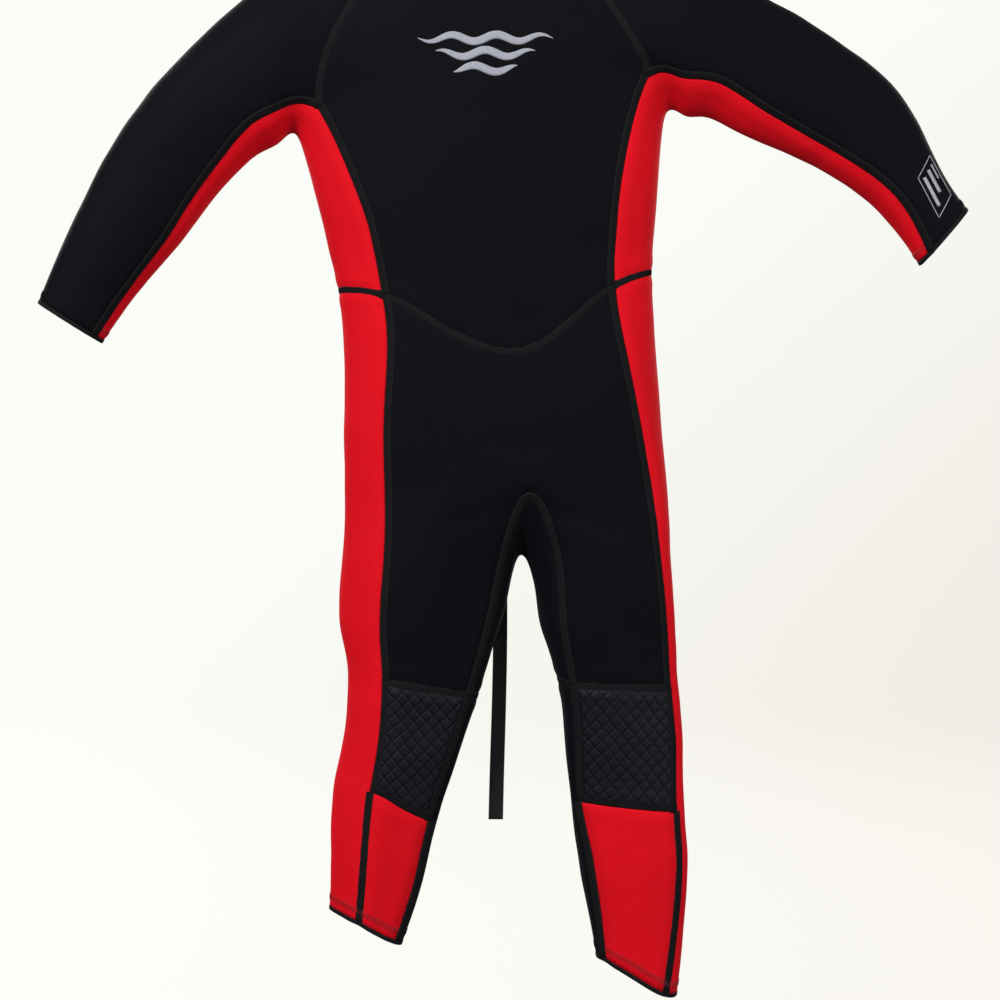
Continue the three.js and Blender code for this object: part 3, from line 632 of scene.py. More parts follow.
# Seam edges lie between two panels, or at an open end.
suit_edges, side_edge, edge_uses = edges_of(suit_faces)
edge_panels = [set() for _ in suit_edges]
for edge_row, panel in zip(side_edge, panel_of_face):
    for edge in edge_row:
        edge_panels[edge].add(panel)
seam_edges = [i for i, panels in enumerate(edge_panels) if len(panels) == 2]
seam_points = np.unique(suit_edges[seam_edges].ravel())
to_seam = distance_to(suit_points, suit_points[seam_points])
tuck = (0.7 * MM * np.exp(-(to_seam / (3.6 * MM)) ** 2)
        - 0.45 * MM * np.exp(-((to_seam - 9 * MM) / (4 * MM)) ** 2))
pucker = 0.35 * MM * low_noise(suit_points, 150, 3) * np.exp(-to_seam / (6 * MM))
zip_strip = across_zip(suit_points) / (14 * MM)     # 1 at the edge of the flat strip along the zip
zip_calm = np.clip(np.abs(zip_strip), 0, 1)
zip_calm = np.where((suit_points[:, 1] > 0) & (suit_points[:, 2] > (ZIP_BOTTOM - 20) * MM), zip_calm, 1)
# Below the zip the seat is pressed flat and a little inwards, where the sewn strap end slides over it.
SEAT_PRESS = 1.7 * MM
below_zip = (suit_points[:, 2] - (ZIP_BOTTOM - 22) * MM) / (34 * MM)
pressed = np.where(suit_points[:, 1] > 0, np.exp(-zip_strip ** 4 - below_zip ** 4), 0)
zip_calm = zip_calm * (1 - pressed)
end_calm = np.ones(len(suit_points))
for ring in (wrist_left, wrist_right, ankle_left, ankle_right, neckline):
    for p in suit_points[ring]:
        end_calm = np.minimum(end_calm, np.linalg.norm(suit_points - p, axis=1) / (40 * MM))
shift = (bag * end_calm - crease_depth - tuck + pucker) * zip_calm - SEAT_PRESS * pressed
suit_points = suit_points + suit_normals * shift[:, None]
suit_normals = normals_of(suit_points, suit_faces)


# ---- Neoprene: closed-cell foam 2.6 mm thick with nylon jersey bonded to both faces.
# Red for the sides, shins and underarms, black for the rest; panels are cut flat and sewn.
def jersey_group():
    """Knitted cloth: fine wales and courses, a soft mottle and slow changes of shade."""
    group = bpy.data.node_groups.new("jersey_knit", "ShaderNodeTree")
    group.interface.new_socket("Stitches per metre", in_out="INPUT", socket_type="NodeSocketFloat")
    for name in ("Height", "Shade"):
        group.interface.new_socket(name, in_out="OUTPUT", socket_type="NodeSocketFloat")
    start, end = node(group, "NodeGroupInput"), node(group, "NodeGroupOutput")
    place = node(group, "ShaderNodeTexCoord")
    parts = node(group, "ShaderNodeSeparateXYZ")
    group.links.new(place.outputs["Object"], parts.inputs[0])
    round_body = maths(group, "ADD", parts.outputs[0], maths(group, "MULTIPLY", parts.outputs[1], 0.8))
    wales = maths(group, "MULTIPLY", round_body, start.outputs[0])
    courses = maths(group, "MULTIPLY", parts.outputs[2], start.outputs[0])
    wale_wave = maths(group, "SINE", maths(group, "MULTIPLY", wales, 2 * math.pi))
    leg_of_stitch = maths(group, "ABSOLUTE", maths(group, "SINE", maths(group, "MULTIPLY", wales, math.pi)))
    chevron = maths(group, "ADD", courses, maths(group, "MULTIPLY", leg_of_stitch, 0.5))
    course_wave = maths(group, "SINE", maths(group, "MULTIPLY", chevron, 2 * math.pi))
    knit = maths(group, "MULTIPLY", maths(group, "ADD", wale_wave, course_wave), 0.5)
    grain = node(group, "ShaderNodeTexNoise")
    grain.inputs["Scale"].default_value = 520
    grain.inputs["Detail"].default_value = 3
    group.links.new(place.outputs["Object"], grain.inputs["Vector"])
    height = maths(group, "ADD", maths(group, "MULTIPLY", knit, 0.3), grain.outputs["Fac"])
    group.links.new(height, end.inputs["Height"])
    mottle = node(group, "ShaderNodeTexNoise")
    mottle.inputs["Scale"].default_value = 9
    mottle.inputs["Detail"].default_value = 5
    group.links.new(place.outputs["Object"], mottle.inputs["Vector"])
    shade = maths(group, "ADD", maths(group, "MULTIPLY", mottle.outputs["Fac"], 0.6),
                  maths(group, "MULTIPLY", grain.outputs["Fac"], 0.4))
    group.links.new(shade, end.inputs["Shade"])
    return group


JERSEY = jersey_group()
RED_CLOTH = (0.66, 0.0026, 0.010)
BLACK_CLOTH = (0.0034, 0.0027, 0.0046)
STITCHES_PER_METRE = 1400
KNIT_DEPTH = 0.00022


def jersey_cloth(name, colour, spread, roughness, shine):
    """Jersey on foam: the colour drifts by a share of itself from place to place."""
    material, tree, shader = new_material(name, colour, roughness)
    knitted = node(tree, "ShaderNodeGroup", node_tree=JERSEY)
    knitted.inputs["Stitches per metre"].default_value = STITCHES_PER_METRE
    ramp = node(tree, "ShaderNodeMapRange")
    ramp.inputs["From Min"].default_value = 0.3
    ramp.inputs["From Max"].default_value = 0.7
    tree.links.new(knitted.outputs["Shade"], ramp.inputs["Value"])
    tinted(tree, shader, ramp.outputs["Result"], [c * (1 - spread) for c in colour],
           [c * (1 + spread) for c in colour])
    embossed(tree, shader, knitted.outputs["Height"], 0.55, KNIT_DEPTH)
    shader.inputs["Sheen Weight"].default_value = 0.012
    shader.inputs["Sheen Roughness"].default_value = 0.45
    shader.inputs["Specular IOR Level"].default_value = shine
    return material


red_jersey = jersey_cloth("red_jersey", RED_CLOTH, 0.10, 0.74, 0.09)
black_jersey = jersey_cloth("black_jersey", BLACK_CLOTH, 0.16, 0.68, 0.055)


def panel_solid(points, normals, faces, gap_at):
    """Closes a panel: the outside pulled back from its edge, the inside one thickness in, and the rim."""
    used, local = np.unique(faces, return_inverse=True)
    local = local.reshape(faces.shape)
    outside, normal = points[used].copy(), normals[used]
    sides = np.stack([local, np.roll(local, -1, axis=1)], axis=2).reshape(-1, 2)
    key = np.sort(sides, axis=1)
    _, index, uses = np.unique(key, axis=0, return_inverse=True, return_counts=True)
    rim = sides[uses[index.ravel()] == 1]
    into = np.cross(normal[rim].mean(axis=1), outside[rim[:, 1]] - outside[rim[:, 0]])
    into /= np.maximum(np.linalg.norm(into, axis=1, keepdims=True), 1e-12)
    way = scatter(len(used), rim.ravel(), np.repeat(into, 2, axis=0))
    way /= np.maximum(np.linalg.norm(way, axis=1, keepdims=True), 1e-12)
    outside = outside + way * SEAM_GAP + gap_at(outside)
    inside = outside - normal * NEOPRENE
    count = len(used)
    rims = np.stack([rim[:, 1], rim[:, 0], rim[:, 0] + count, rim[:, 1] + count], axis=1)
    return np.vstack([outside, inside]), np.vstack([local, local[:, ::-1] + count, rims])


def beside_zip_edge(direction):
    """Near the zip the panel is squeezed sideways, so that its edge stops short of the teeth."""
    def gap(points):
        off = across_zip(points) * direction
        reach = 32 * MM
        near = (points[:, 1] > 20 * MM) & (off < reach)
        squeeze = np.where(near, 1 - np.clip(off, 0, reach) / reach, 0)
        lift = np.where(points[:, 2] < (ZIP_BOTTOM - 6) * MM, 0.4, 0) * squeeze
        return np.stack([direction * ZIP_OPENING * squeeze, 0 * squeeze, ZIP_OPENING * lift], axis=1)
    return gap


def no_gap(points):
    return 0.0


# Each panel is taken from the one surface, closed, and kept a hair's gap from its neighbours.
panel_finish = {"side": (red_jersey, "red_neoprene"), "shin": (red_jersey, "red_neoprene")}
for name in sorted(set(cage_panels)):
    if name.startswith("knee_pad"):
        continue
    faces = suit_faces[panel_of_face == name]
    material, slot = panel_finish.get(name.split("_")[0], (black_jersey, "black_neoprene"))
    gap = {"back_panel_left": beside_zip_edge(-1), "back_panel_right": beside_zip_edge(1)}.get(name, no_gap)
    points, solid = panel_solid(suit_points, suit_normals, faces, gap)
    piece = object_from(name + "_cloth", points, solid, material, "suit", slot)
    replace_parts(piece, name)


# ---- Knee pads: dark blue-grey rubber printed on the cloth in raised scales.
# They take the wear of kneeling on a board, so the scales are scuffed a little paler on top; the grooves
# between them are painted darker, as painted shade.
def grain_group():
    """Random mottling or relief that lies still in the piece's own metres."""
    group = bpy.data.node_groups.new("grain", "ShaderNodeTree")
    for name in ("Scale", "Detail"):
        group.interface.new_socket(name, in_out="INPUT", socket_type="NodeSocketFloat")
    group.interface.new_socket("Height", in_out="OUTPUT", socket_type="NodeSocketFloat")
    start, end = node(group, "NodeGroupInput"), node(group, "NodeGroupOutput")
    place = node(group, "ShaderNodeTexCoord")
    cloud = node(group, "ShaderNodeTexNoise")
    group.links.new(place.outputs["Object"], cloud.inputs["Vector"])
    group.links.new(start.outputs["Scale"], cloud.inputs["Scale"])
    group.links.new(start.outputs["Detail"], cloud.inputs["Detail"])
    group.links.new(cloud.outputs["Fac"], end.inputs["Height"])
    return group


GRAIN = grain_group()


def grain(tree, scale, detail):
    placed = node(tree, "ShaderNodeGroup", node_tree=GRAIN)
    placed.inputs["Scale"].default_value = scale
    placed.inputs["Detail"].default_value = detail
    return placed.outputs["Height"]


def roughened(tree, shader, share, low, high):
    """The roughness goes from low to high with a share from 0 to 1."""
    rough = node(tree, "ShaderNodeMapRange")
    rough.inputs["To Min"].default_value = low
    rough.inputs["To Max"].default_value = high
    tree.links.new(share, rough.inputs["Value"])
    tree.links.new(rough.outputs["Result"], shader.inputs["Roughness"])


knee_rubber, tree, shader = new_material("knee_rubber", (0.013, 0.0145, 0.020), 0.55)
raised = node(tree, "ShaderNodeAttribute", attribute_name="scale_height")
scuff = grain(tree, 38, 6)
# Painted shade in the grooves: the colour follows the scale height, darker low down, with real scuffs paler on
# top.
scuffs_and_groove_shade = maths(tree, "MULTIPLY", raised.outputs["Fac"], maths(tree, "ADD", scuff, 0.45))
tinted(tree, shader, scuffs_and_groove_shade, (0.0018, 0.0020, 0.0038), (0.0056, 0.0062, 0.0108))
roughened(tree, shader, scuff, 0.42, 0.66)
embossed(tree, shader, grain(tree, 900, 2), 0.3, 0.0002)
shader.inputs["Specular IOR Level"].default_value = 0.13

SCALE_PITCH = 7.6 * MM      # side of one diamond scale
SCALE_HEIGHT = 0.55 * MM
SCALE_DOME = 0.25 * MM      # a scale's middle stands this much above its edges
GROOVE_WIDTH = 0.62 * MM
for side in ("left", "right"):
    name = "knee_pad_" + side
    faces = suit_faces[panel_of_face == name]
    used, local = np.unique(faces, return_inverse=True)
    points, local = suit_points[used], local.reshape(faces.shape)
    for _ in range(2):
        points, local = subdivide(points, local)
    normals = normals_of(points, local)
    wander = np.stack([low_noise(points, 46, 5), low_noise(points, 46, 6)], axis=1) * 1.5 * MM
    x, z = points[:, 0] + wander[:, 0], points[:, 2] + wander[:, 1]
    first = (0.78 * x + 0.62 * z) / SCALE_PITCH
    second = (-0.70 * x + 0.71 * z) / SCALE_PITCH
    to_line = SCALE_PITCH * np.minimum(np.abs(first - np.round(first)), np.abs(second - np.round(second)))
    height = 1 - np.exp(-(to_line / GROOVE_WIDTH) ** 2)
    dome = np.clip(to_line / (SCALE_PITCH / 2), 0, 1)
    edges, _, uses = edges_of(local)
    rim = points[np.unique(edges[uses == 1])]
    from_rim = np.clip((distance_to(points, rim) - 3 * MM) / (2 * MM), 0, 1)
    points = points + normals * ((SCALE_HEIGHT * height + SCALE_DOME * dome) * from_rim)[:, None]
    closed, solid = panel_solid(points, normals_of(points, local), local, no_gap)
    pad = object_from(name + "_rubber", closed, solid, knee_rubber, "suit", "knee_rubber")
    level = pad.data.attributes.new("scale_height", "FLOAT", "POINT")
    outside = height * (0.4 + 0.6 * from_rim)
    level.data.foreach_set("value", np.r_[outside, np.zeros(len(points))].astype(np.float32))
    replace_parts(pad, name)


# ---- Flat seams: the panels meet edge to edge under a flat band of black thread.
# Four needles sew it: a ladder of cover threads over a closed web, 6.4 mm wide.
BAND_HALF = 3.2 * MM
LADDER_PITCH = 1.45 * MM


def grained(name, colour, roughness, scale, detail, dark, pale, strength=0.0, depth=0.0):
    """A material whose colour, and relief if it has a depth, both follow one grain."""
    material, tree, shader = new_material(name, colour, roughness)
    height = grain(tree, scale, detail)
    tinted(tree, shader, height, dark, pale)
    if depth:
        embossed(tree, shader, height, strength, depth)
    return material, shader


thread_black, shader = grained("seam_thread", (0.0042, 0.0040, 0.0052), 0.8, 1500, 2,
                               (0.003, 0.003, 0.004), (0.009, 0.0085, 0.010), 0.4, 0.0001)
shader.inputs["Specular IOR Level"].default_value = 0.15

seams = {}
for i in seam_edges:
    pair = tuple(sorted(edge_panels[i]))
    if pair != ("back_panel_left", "back_panel_right"):
        seams.setdefault(pair, []).append(suit_edges[i])


def chains(edges):
    """Joins loose edges into runs of points, open or closed."""
    links = {}
    for a, b in edges:
        links.setdefault(int(a), []).append(int(b))
        links.setdefault(int(b), []).append(int(a))
    runs, left = [], {frozenset((int(a), int(b))) for a, b in edges}
    starts = [v for v, n in links.items() if len(n) != 2] + list(links)
    for start in starts:
        for first in links[start]:
            if frozenset((start, first)) not in left:
                continue
            run = [start, first]
            left.discard(frozenset(run))
            while True:
                ahead = [v for v in links[run[-1]] if frozenset((run[-1], v)) in left]
                if not ahead or len(links[run[-1]]) != 2:
                    break
                left.discard(frozenset((run[-1], ahead[0])))
                run.append(ahead[0])
            runs.append(run)
    return runs


def evened(values, rounds=2):
    """Smooths a run of vectors without moving its ends."""
    values = values.copy()
    for _ in range(rounds):
        values[1:-1] = (values[:-2] + 2 * values[1:-1] + values[2:]) / 4
    return values


def unit(vectors):
    return vectors / np.maximum(np.linalg.norm(vectors, axis=1, keepdims=True), 1e-12)


suit_surface = BVHTree.FromPolygons([tuple(p) for p in suit_points],
                                    [tuple(int(i) for i in f) for f in suit_faces])


def on_surface(points, lift=0.0):
    """The nearest places on the suit, with the normal and the panel there."""
    places, normals, panels = [], [], []
    for p in points:
        place, normal, face, _ = suit_surface.find_nearest(Vector(p))
        normal = np.array(normal)
        places.append(np.array(place) + normal * lift)
        normals.append(normal)
        panels.append(panel_of_face[face])
    return np.array(places), np.array(normals), panels


def is_red(panel):
    return panel.startswith(("side", "shin"))


band_section = [(-BAND_HALF, -0.25 * MM), (BAND_HALF, -0.25 * MM), (BAND_HALF, 0.34 * MM),
                (0.6 * BAND_HALF, 0.46 * MM), (0.0, 0.40 * MM), (-0.6 * BAND_HALF, 0.46 * MM),
                (-BAND_HALF, 0.34 * MM)]


def run_frame(line, out):
    along = unit(np.gradient(line, axis=0))
    across = unit(np.cross(along, out))
    return across, unit(np.cross(across, along))


BAND_SHIFT = 3.0 * MM       # beside red cloth the band is sewn mostly on the black side
CLEAR_OF_SEAM = 4 * MM      # far enough from a seam to tell which panel lies there
seam_runs = []
for pair, edges in seams.items():
    for run in chains(edges):
        line = evened(suit_points[run])
        out = unit(evened(suit_normals[run]))
        if is_red(pair[0]) != is_red(pair[1]):
            across, _ = run_frame(line, out)
            _, _, panels = on_surface(line + across * CLEAR_OF_SEAM)
            toward_red = np.mean([is_red(panel) for panel in panels]) > 0.5
            beside, out, _ = on_surface(line + across * BAND_SHIFT * (-1 if toward_red else 1))
            line, out = evened(beside), unit(evened(out))
        seam_runs.append((pair, line, out))


def joined(parts):
    """The points and faces of several shapes as one."""
    all_points, all_faces, count = [], [], 0
    for points, faces in parts:
        all_points.append(points)
        all_faces += [tuple(i + count for i in face) for face in faces]
        count += len(points)
    return np.vstack(all_points), all_faces


def joined_strips(name, runs, section, material, body, slot):
    strips = [strip_along(line, *run_frame(line, out), section) for line, out in runs]
    return turned_outwards(object_from(name, *joined(strips), material, body, slot))


def stitch_tree():
    """Geometry Nodes: lays one stitch at every pitch along a line, stood on the line's own up vector."""
    tree = bpy.data.node_groups.new("row_of_stitches", "GeometryNodeTree")
    face = tree.interface
    face.new_socket("Geometry", in_out="INPUT", socket_type="NodeSocketGeometry")
    sockets = {
        "pitch": face.new_socket("Pitch", in_out="INPUT", socket_type="NodeSocketFloat").identifier,
        "stitch": face.new_socket("Stitch", in_out="INPUT", socket_type="NodeSocketObject").identifier,
        "thread": face.new_socket("Thread", in_out="INPUT", socket_type="NodeSocketMaterial").identifier,
    }
    face.new_socket("Geometry", in_out="OUTPUT", socket_type="NodeSocketGeometry")
    start, end = node(tree, "NodeGroupInput"), node(tree, "NodeGroupOutput")
    curve = node(tree, "GeometryNodeMeshToCurve")
    spaced = node(tree, "GeometryNodeResampleCurve", mode="LENGTH")
    up = node(tree, "GeometryNodeInputNamedAttribute", data_type="FLOAT_VECTOR")
    up.inputs["Name"].default_value = "up"
    tangent = node(tree, "GeometryNodeInputTangent")
    stand = node(tree, "FunctionNodeAlignRotationToVector", axis="Z")
    turn = node(tree, "FunctionNodeAlignRotationToVector", axis="Y", pivot_axis="Z")
    shape = node(tree, "GeometryNodeObjectInfo")
    place = node(tree, "GeometryNodeInstanceOnPoints")
    real = node(tree, "GeometryNodeRealizeInstances")
    paint = node(tree, "GeometryNodeSetMaterial")
    link = tree.links.new
    link(start.outputs["Geometry"], curve.inputs["Mesh"])
    link(curve.outputs["Curve"], spaced.inputs["Curve"])
    link(start.outputs["Pitch"], spaced.inputs["Length"])
    link(up.outputs["Attribute"], stand.inputs["Vector"])
    link(stand.outputs["Rotation"], turn.inputs["Rotation"])
    link(tangent.outputs["Tangent"], turn.inputs["Vector"])
    link(spaced.outputs["Curve"], place.inputs["Points"])
    link(start.outputs["Stitch"], shape.inputs["Object"])
    link(shape.outputs["Geometry"], place.inputs["Instance"])
    link(turn.outputs["Rotation"], place.inputs["Rotation"])
    link(place.outputs["Instances"], real.inputs["Geometry"])
    link(real.outputs["Geometry"], paint.inputs["Geometry"])
    link(start.outputs["Thread"], paint.inputs["Material"])
    link(paint.outputs["Geometry"], end.inputs["Geometry"])
    return tree, sockets


STITCH_TREE, STITCH_SOCKETS = stitch_tree()


def thread_arc(a, b, rise, radius, sides=5, steps=4):
    """A closed thread from a to b, in metres, that rises in its middle; returns points and faces."""
    a, b = np.array(a, float), np.array(b, float)
    share = np.linspace(0, 1, steps + 1)
    line = a + (b - a) * share[:, None]
    line[:, 2] += rise * np.sin(math.pi * share)
    along = unit(np.gradient(line, axis=0))
    across = unit(np.cross(along, np.array([[0.0, 0.0, 1.0]])))
    angles = np.linspace(0, 2 * math.pi, sides, endpoint=False)
    return strip_along(line, across, unit(np.cross(across, along)),
                       [(radius * math.cos(t), radius * math.sin(t)) for t in angles])


def stitched(name, runs, stitch, pitch, material, body, slot):
    """Sews a row of stitches along each run and returns one plain mesh piece."""
    mesh = bpy.data.meshes.new(name + "_one")
    mesh.from_pydata([tuple(p) for p in stitch[0]], [], stitch[1])
    mesh.shade_smooth()
    helper = in_scene(name + "_one", mesh)
    edges, count = [], 0
    for line, _ in runs:
        edges += [(count + i, count + i + 1) for i in range(len(line) - 1)]
        count += len(line)
    mesh = bpy.data.meshes.new(name + "_line")
    mesh.from_pydata([tuple(p) for line, _ in runs for p in line], edges, [])
    up = mesh.attributes.new("up", "FLOAT_VECTOR", "POINT")
    ups = np.vstack([np.broadcast_to(out, line.shape) for line, out in runs])
    up.data.foreach_set("vector", ups.astype(np.float32).ravel())
    guide = in_scene(name + "_guide", mesh)
    sewing = guide.modifiers.new("sewing", "NODES")
    sewing.node_group = STITCH_TREE
    sewing[STITCH_SOCKETS["pitch"]] = pitch
    sewing[STITCH_SOCKETS["stitch"]] = helper
    sewing[STITCH_SOCKETS["thread"]] = material
    bpy.context.view_layer.update()
    graph = bpy.context.evaluated_depsgraph_get()
    made = bpy.data.meshes.new_from_object(guide.evaluated_get(graph), depsgraph=graph)
    bpy.data.objects.remove(guide)
    bpy.data.objects.remove(helper)
    made.name = name
    for attribute in [a for a in made.attributes if a.name == "up"]:
        made.attributes.remove(attribute)
    piece = in_scene(name, made)
    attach(piece, body)
    return piece


ladder = thread_arc((-0.95 * BAND_HALF, -0.4 * MM, 0.22 * MM), (0.95 * BAND_HALF, 0.4 * MM, 0.22 * MM),
                    0.36 * MM, 0.23 * MM, 4)
halves = {"upper": [], "lower": []}
for pair, line, out in seam_runs:
    beside = pair[0] + pair[1]
    halves["upper" if "upper" in beside or "sleeve" in beside else "lower"].append((line, out))
for part, runs in halves.items():
    joined_strips("seam_web_" + part, runs, band_section, thread_black, "suit", "edge_binding")
    stitched("seam_ladder_" + part, runs, ladder, LADDER_PITCH, thread_black, "suit", "edge_binding")


# ---- Cut ends: wrists, ankles and collar have a narrow turned edge of black tape.
# Behind it a zigzag of thread in the colour of the cloth holds the hem down.
edge_tape, shader = grained("edge_tape", (0.005, 0.005, 0.006), 0.75, 700, 3,
                            (0.0032, 0.0032, 0.004), (0.009, 0.009, 0.011), 0.5, 0.0002)
shader.inputs["Specular IOR Level"].default_value = 0.12
thread_red, _ = grained("hem_thread_red", (0.30, 0.004, 0.010), 0.7, 1200, 2,
                        (0.22, 0.003, 0.008), (0.42, 0.006, 0.014))

EDGE_WIDTH = 3.1 * MM
EDGE_PROUD = 0.42 * MM
EDGE_OVERLAP = 0.5 * MM     # the tape laps over the cut edge
EDGE_ROUNDNESS = 0.45       # 1 makes the fold's section an ellipse, near 0 a box
ANKLE_HEM = 7.4 * MM        # from the edge to the zigzag
WRIST_HEM = 5.6 * MM
ZIGZAG_PITCH = 2.5 * MM
ZIGZAG_HALF = 2.5 * MM


def turned_edge_section():
    """Rounded section of the tape folded round a cut edge, 0 at the seam side and at the outer face."""
    middle, half = -NEOPRENE / 2, NEOPRENE / 2 + EDGE_PROUD
    section = []
    for angle in np.linspace(0, 2 * math.pi, 18, endpoint=False):
        x, y = (abs(c) ** EDGE_ROUNDNESS * math.copysign(1, c) for c in (math.cos(angle), math.sin(angle)))
        section.append(((EDGE_WIDTH + EDGE_OVERLAP) * (1 + x) / 2 - EDGE_OVERLAP, middle + half * y))
    return section


def closed_frame(line, out):
    """Directions away from a closed edge and out of the cloth, at each point of a loop."""
    along = unit(np.roll(line, -1, axis=0) - np.roll(line, 1, axis=0))
    across = unit(np.cross(along, out))
    return across, unit(np.cross(across, along))


def hoop(name, line, across, out, section, material, body, slot):
    """A closed ring of one section round a loop of points."""
    rows, count = len(line), len(section)
    points = np.stack([line + across * a + out * b for a, b in section], axis=1).reshape(-1, 3)
    faces = [(r * count + i, r * count + (i + 1) % count,
              (r + 1) % rows * count + (i + 1) % count, (r + 1) % rows * count + i)
             for r in range(rows) for i in range(count)]
    return turned_outwards(object_from(name, points, faces, material, body, slot))


def parted(line, out, panels, wanted):
    """The stretches of a line that lie on panels that the test accepts."""
    runs, start = [], None
    for i in range(len(line) + 1):
        good = i < len(line) and wanted(panels[i])
        if good and start is None:
            start = i
        if not good and start is not None:
            if i - start > 3:
                runs.append((line[start:i], out[start:i]))
            start = None
    return runs


def without_end(run):
    """A closed run without its first point repeated at its end."""
    return run[:-1] if run[0] == run[-1] else run


open_loops = [without_end(run) for run in chains(suit_edges[edge_uses == 1])]
edge_section = turned_edge_section()
hem_rings = {"wrist_binding_left": wrist_left, "wrist_binding_right": wrist_right,
             "ankle_binding_left": ankle_left, "ankle_binding_right": ankle_right}
hem_lines = {True: [], False: []}
for name, ring in hem_rings.items():
    loop = next(run for run in open_loops if ring[0] in run)
    line, normals = suit_points[loop], suit_normals[loop]
    across, out = closed_frame(line, normals)
    inward = suit_points.mean(axis=0) - line.mean(axis=0)
    if across.mean(axis=0) @ inward > 0:
        line, normals = line[::-1], normals[::-1]
        across, out = closed_frame(line, normals)
    taped = hoop(name + "_tape", line, across, out, edge_section, edge_tape, "suit", "edge_binding")
    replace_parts(taped, name)
    depth = ANKLE_HEM if name.startswith("ankle") else WRIST_HEM
    rail, rail_out, panels = on_surface(line - across * depth, 0.10 * MM)
    rail, rail_out = np.vstack([rail, rail[:1]]), np.vstack([rail_out, rail_out[:1]])
    panels = panels + panels[:1]
    for red in (True, False):
        hem_lines[red] += parted(rail, rail_out, panels, lambda panel: is_red(panel) == red)

zigzag = joined([
    thread_arc((-ZIGZAG_HALF, -0.62 * MM, 0), (ZIGZAG_HALF, 0.0, 0), 0.22 * MM, 0.22 * MM),
    thread_arc((ZIGZAG_HALF, 0.0, 0), (-ZIGZAG_HALF, 0.62 * MM, 0), 0.22 * MM, 0.22 * MM)])
stitched("hem_zigzag_red", hem_lines[True], zigzag, ZIGZAG_PITCH, thread_red, "suit", "red_neoprene")
stitched("hem_zigzag_black", hem_lines[False], zigzag, ZIGZAG_PITCH, thread_black, "suit", "edge_binding")


# ---- Collar: a low stand of the same neoprene, open at the back over the zip.
# It is cut a little narrower at the top and has a glued, turned upper edge.
neck = suit_points[neckline]
round_neck = neck[[8, 9, 10, 11, 0, 1, 2, 3, 4, 5, 6, 7, 8]]
neck_middle = neck.mean(axis=0)
COLLAR_SPLIT = 2 * MM       # each end is this far from the zip's line
COLLAR_TALL = 36 * MM
collar_rows = []
for row, height in enumerate((0.9 * MM, COLLAR_TALL / 2, COLLAR_TALL)):
    narrowed = [1 - 0.05 * row, 1 - 0.05 * row, 1 - 0.2 * row]
    ring = neck_middle + (round_neck - neck_middle) * narrowed + [-LEAN * height, 0, height]
    ring[0, 0] -= COLLAR_SPLIT
    ring[-1, 0] += COLLAR_SPLIT
    collar_rows.append(ring)
rings = len(round_neck)
collar_net = [((r + 1) * rings + i, r * rings + i, r * rings + i + 1, (r + 1) * rings + i + 1)
              for r in range(2) for i in range(rings - 1)]
collar_points, collar_faces = smooth_surface(np.vstack(collar_rows), np.array(collar_net), 4)
collar_normals = normals_of(collar_points, collar_faces)
collar_points += collar_normals * (0.5 * MM * low_noise(collar_points, 30, 8))[:, None]
collar_normals = normals_of(collar_points, collar_faces)
points, solid = panel_solid(collar_points, collar_normals, collar_faces, no_gap)
collar = object_from("collar_cloth", points, solid, black_jersey, "suit", "collar_neoprene")
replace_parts(collar, "collar")

# The top edge runs through the last row of the net, from one end of the collar to the other.
collar_edges, _, collar_uses = edges_of(collar_faces)
loop = without_end(chains(collar_edges[collar_uses == 1])[0])
first, second, last = 2 * rings, 2 * rings + 1, 3 * rings - 1
start = loop.index(first)
loop = loop[start:] + loop[:start]
stop = loop.index(last)
top_run = loop[:stop + 1] if second in loop[:stop + 1] else [first] + loop[stop:][::-1]
line, out = collar_points[top_run], collar_normals[top_run]
upward = unit(np.cross(unit(np.gradient(line, axis=0)), out))
if upward[:, 2].mean() < 0:
    upward = -upward
points, faces = strip_along(line, upward, out, edge_section)
collar_tape = object_from("collar_binding_tape", points, faces, edge_tape, "suit", "edge_binding")
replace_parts(turned_outwards(collar_tape), "collar_binding")
zigzag_line = line - upward * WRIST_HEM + out * 0.1 * MM
stitched("collar_zigzag", [(zigzag_line, out)], zigzag, ZIGZAG_PITCH, thread_black, "suit", "edge_binding")

# The neck seam stops short of the zip's line on both sides.
NECK_SEAM_STOP = 10 * MM
neck_loop = next(run for run in open_loops if neckline[0] in run)
zip_end = neckline[8]
start = neck_loop.index(zip_end)
neck_run = [v for v in neck_loop[start:] + neck_loop[:start]
            if np.linalg.norm(suit_points[v] - suit_points[zip_end]) > NECK_SEAM_STOP]
neck_seam = [(suit_points[neck_run] + [0, 0, 0.45 * MM], unit(suit_normals[neck_run]))]
joined_strips("neck_seam_web", neck_seam, band_section, thread_black, "suit", "edge_binding")
stitched("neck_seam_ladder", neck_seam, ladder, LADDER_PITCH, thread_black, "suit", "edge_binding")


# ---- Back zip: moulded plastic teeth on two woven tapes, with a cloth flap behind it.
# Everything here is placed in the zip's own frame: x across, y out of the back, z up, in millimetres.
ZIP_LENGTH = (ZIP_TOP - ZIP_BOTTOM) * math.hypot(1, LEAN)
ZIP_TURN = -math.atan(LEAN)
ZIP_ORIGIN = np.array((centre_x(ZIP_TOP), BACK, ZIP_TOP))
COLLAR_TAB_ORIGIN = np.array((centre_x(30.0), BACK, 30.0))


def zip_at(points, origin=ZIP_ORIGIN):
    """From the zip's frame in millimetres to the suit's frame in metres."""
    x, y, z = np.asarray(points, float).T
    turned = np.stack([x * math.cos(ZIP_TURN) + z * math.sin(ZIP_TURN), y,
                       -x * math.sin(ZIP_TURN) + z * math.cos(ZIP_TURN)], axis=1)
    return (origin + turned) * MM


